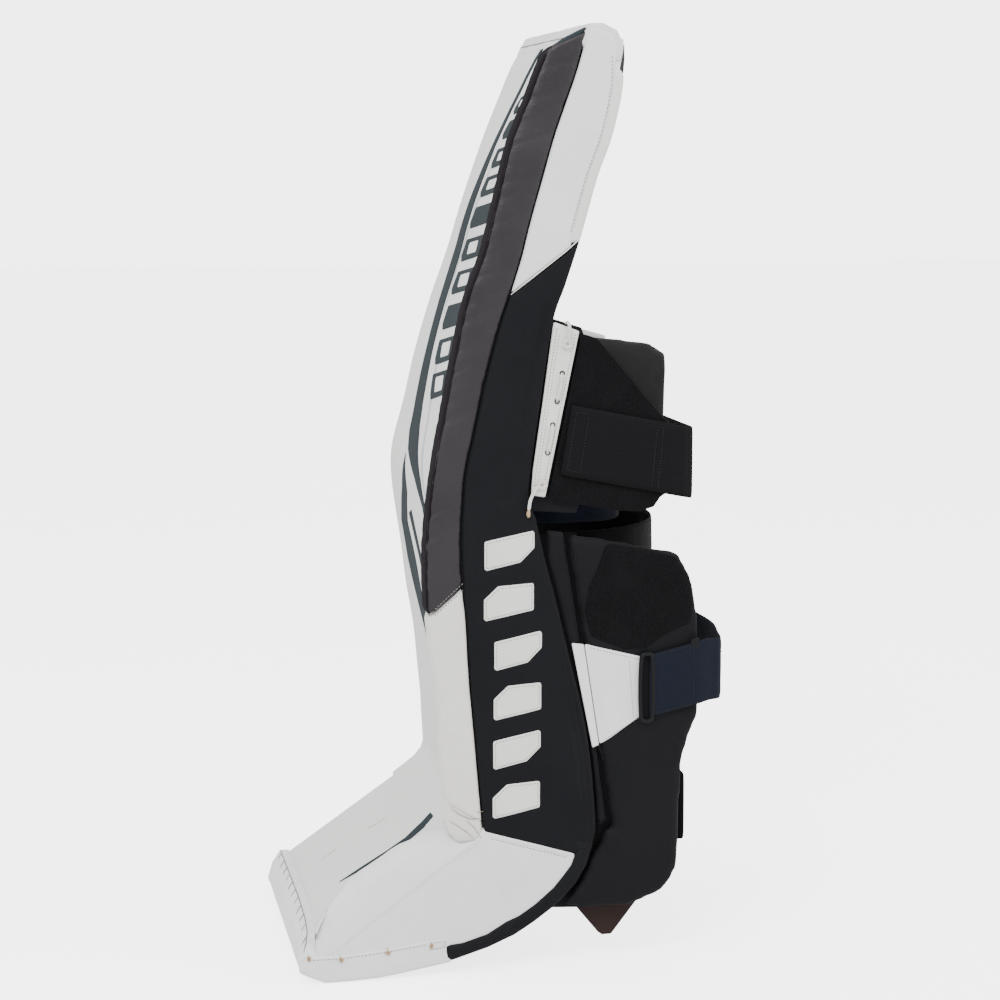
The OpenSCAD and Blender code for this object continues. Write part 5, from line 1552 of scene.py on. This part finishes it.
# ------------------------------------------------------------------ inner calf wing, lobe, ankle flap
iw_o = [[calf_line(408) + 1.5, 408], [122, 402.3], [174, 391.3], [195.5, 387.3], [207.3, 363], [211.3, 321], [211.3, 234], [205.3, 212], [200.3, 189], [200.3, 137], [200.3, 46], [163, 51], [calf_line(53) + 1.5, 53.5]]
iw = pillow("inner_calf_wing", -136.6, -124.6, iw_o, corner=6, puff=0.3, bumps=lambda u, v: 0.7 * fbm(u, v, 60, 1.7, 3), cap=0.9, pressure=2.5, shrink=0.6)
paint(iw, "nylon_wing", "inner_wing", "black_nylon")
lob_c = spline([[-130.2, 201.5], [-129, 214], [-111.5, 235], [-84, 246.5], [-59, 258.5]], 3.0)
zs = np.linspace(45, 133, 26)
n = len(lob_c)
t = np.gradient(lob_c, axis=0)
t /= np.linalg.norm(t, axis=1)[:, None]
nn = np.stack([t[:, 1], -t[:, 0]], -1)
secs = []
for i in range(n):
    f = i / (n - 1)
    hz = 43.6 * (1 - 0.25 * max(0, f - 0.6) ** 2 / 0.16 * 0.6)
    loop = []
    for a in np.linspace(0, 2 * math.pi, 44, endpoint=False):
        c, s_ = math.cos(a), math.sin(a)
        e = 0.42
        w_ = 5.4 * (1 if i not in (0, n - 1) else 0.6)
        off = w_ * np.sign(c) * abs(c) ** 0.7
        zz = 89 + hz * np.sign(s_) * abs(s_) ** e
        loop.append([lob_c[i][0] + nn[i][0] * off, lob_c[i][1] + nn[i][1] * off, zz])
    secs.append(np.array(loop))
lobe = loft("inner_ankle_lobe", secs)
puffed(lobe, 4.5, 1.0, 2.5, 0.5)
paint(lobe, "pile", "inner_wing", "black_nylon")
ih, _ = panel("inner_hook_pad", rounded([[125.5, 393], [174, 386], [193.5, 382], [203, 361], [206, 322], [199, 251], [151, 251], [125, 341], [123, 372]], 9), Sheet(side_sheet(-130.0, -1).place), r=0.9, pitch=6,
              flat_back=True, back=1.2, base=(lambda tp: (lambda u, v: np.minimum(np.maximum(tp(u, v), 4.0) - 0.3, 6.4)))(ray_top(iw, -130.0, -1.0)))
paint(ih, "pile", "inner_wing", "hook_pile")
af, _ = panel("ankle_flap", rounded([[108.5, 67.4], [104.6, 50], [125, 24.8], [129, 21.8], [138, 21.8], [161.4, 52], [165.3, 67.4]], 2.0), side_sheet(118.75), r=1.6, puff=0.0, pitch=3.5, back=1.0,
              bumps=lambda u, v: 0.9 * fbm(u, v, 18, 2.0, 3))
paint(af, "brown_leather", "ankle_flap", "brown_leather")
REPL_SOFT = {"outer_bolster": ["outer_bolster"], "inner_bolster": ["inner_bolster"], "shin_liner": ["shin_liner"], "knee_cradle": ["knee_cradle"], "knee_block": ["knee_block"], "knee_block_top": ["knee_block_top"],
             "outer_wing_root": ["outer_wing_root"], "inner_wing_root": ["inner_wing_root"], "upper_calf_strap": ["upper_calf_strap"], "lace_strip": ["lace_strip"], "knee_lace": ["knee_lace"],
             "knee_wing_pad": ["knee_wing_pad"], "knee_flap": ["knee_flap"], "knee_strap": ["knee_strap"], "knee_strap_keeper": ["knee_strap_keeper"], "outer_calf_wing": ["outer_calf_wing"],
             "calf_hook_pad": ["calf_hook_pad"], "calf_tab": ["calf_tab"], "calf_ring": ["calf_ring"], "calf_strap": ["calf_strap"], "calf_strap_tab": ["calf_strap_tab"], "inner_calf_wing": ["inner_calf_wing"],
             "inner_ankle_lobe": ["inner_ankle_lobe"], "inner_hook_pad": ["inner_hook_pad"], "ankle_flap": ["ankle_flap"]}
REPL = {
    "face_stripe": ["face_stripe"], "outer_roll_upper": ["outer_roll_upper"], "outer_roll_lower": ["outer_roll_lower"], "outer_side_top": ["outer_side_top"],
    "outer_side_panel": ["outer_side_panel"], "side_bar_1": ["outer_side_bars"], "leg_binding_1": ["leg_binding"], "inner_side_panel": ["inner_side_panel"],
    "thigh_back_panel": ["thigh_back_panel"], "thigh_back_strip": ["thigh_back_strip"], "top_cap": ["top_cap"],
}
REPL.update(REPL_BOOT)
REPL.update(REPL_SOFT)
CAD_LOOK = {}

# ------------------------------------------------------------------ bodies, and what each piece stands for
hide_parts("leg_core")
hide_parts("leg_face_cover")
for a, b in REPL.items():
    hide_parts(*b)
for o, body, sl in PIECES:
    if "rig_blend" not in o:
        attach(o, body)
for name in list(bpy.data.objects.keys()):
    o = bpy.data.objects[name]
    if "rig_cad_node" in o and not o.hide_render:
        o.data.materials.clear()
        o.data.materials.append(M[CAD_LOOK.get(name, "plastic")])

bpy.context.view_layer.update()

# ------------------------------------------------------------------ floor, light, camera
def plane(name, size, z):
    bm = bmesh.new()
    bmesh.ops.create_grid(bm, x_segments=2, y_segments=2, size=size)
    me = bpy.data.meshes.new(name)
    bm.to_mesh(me)
    bm.free()
    o = link(me, name)
    o.location.z = z
    return o


floor = plane("floor", 14, -0.0005)
fm = Mat("floor_pale")
fm.put(color=fm.mix(fm.range(fm.noise(500, 3), 0.3, 0.7, 0, 1), (0.80, 0.80, 0.80), (0.84, 0.84, 0.84)), rough=0.85, spec=0.1)
add = fm.n("ShaderNodeAddShader")
em = fm.n("ShaderNodeEmission")
rays = fm.n("ShaderNodeLightPath")
fm.link(fm.math("MULTIPLY", rays.outputs["Is Camera Ray"], 3.1), em.inputs["Strength"])
fm.link(fm.bs.outputs[0], add.inputs[0])
fm.link(em.outputs[0], add.inputs[1])
fm.link(add.outputs[0], [x for x in fm.nt.nodes if x.type == "OUTPUT_MATERIAL"][0].inputs[0])
floor.data.materials.append(fm.m)

w = bpy.data.worlds.new("studio")
bpy.context.scene.world = w
w.use_nodes = True
bg = w.node_tree.nodes["Background"]
bg.inputs[0].default_value = (1, 1, 1, 1)
lp = w.node_tree.nodes.new("ShaderNodeLightPath")
mr = w.node_tree.nodes.new("ShaderNodeMapRange")
mr.inputs[3].default_value = 1.55
mr.inputs[4].default_value = 4.6
w.node_tree.links.new(lp.outputs["Is Camera Ray"], mr.inputs[0])
w.node_tree.links.new(mr.outputs[0], bg.inputs[1])


def area(name, loc, target, size, power, size_y=None):
    d = bpy.data.lights.new(name, "AREA")
    d.energy = power
    d.shape = "RECTANGLE"
    d.size = size
    d.size_y = size_y or size
    o = bpy.data.objects.new(name, d)
    bpy.context.scene.collection.objects.link(o)
    o.location = loc
    o.rotation_euler = (Vector(target) - Vector(loc)).to_track_quat("-Z", "Y").to_euler()
    return o


area("key", (1.6, -1.0, 2.3), (0, 0, 0.45), 1.0, 62)
area("front", (-0.5, -2.2, 0.9), (0, 0, 0.45), 1.2, 9)
area("rear", (1.0, 2.1, 1.7), (0, 0, 0.45), 0.9, 32)
area("top", (0.2, 0.1, 2.6), (0, 0, 0.5), 1.2, 10)

cam = bpy.data.cameras.new("camera")
cam.lens = 82.8
cam.sensor_width = 36
co = bpy.data.objects.new("camera", cam)
bpy.context.scene.collection.objects.link(co)
az, el = math.radians(78.5), math.radians(8.4)
look = Vector((-math.sin(az) * math.cos(el), math.cos(az) * math.cos(el), -math.sin(el)))
co.location = (2.1303, -0.430, 0.740)
co.rotation_euler = look.to_track_quat("-Z", "Y").to_euler()
bpy.context.scene.camera = co
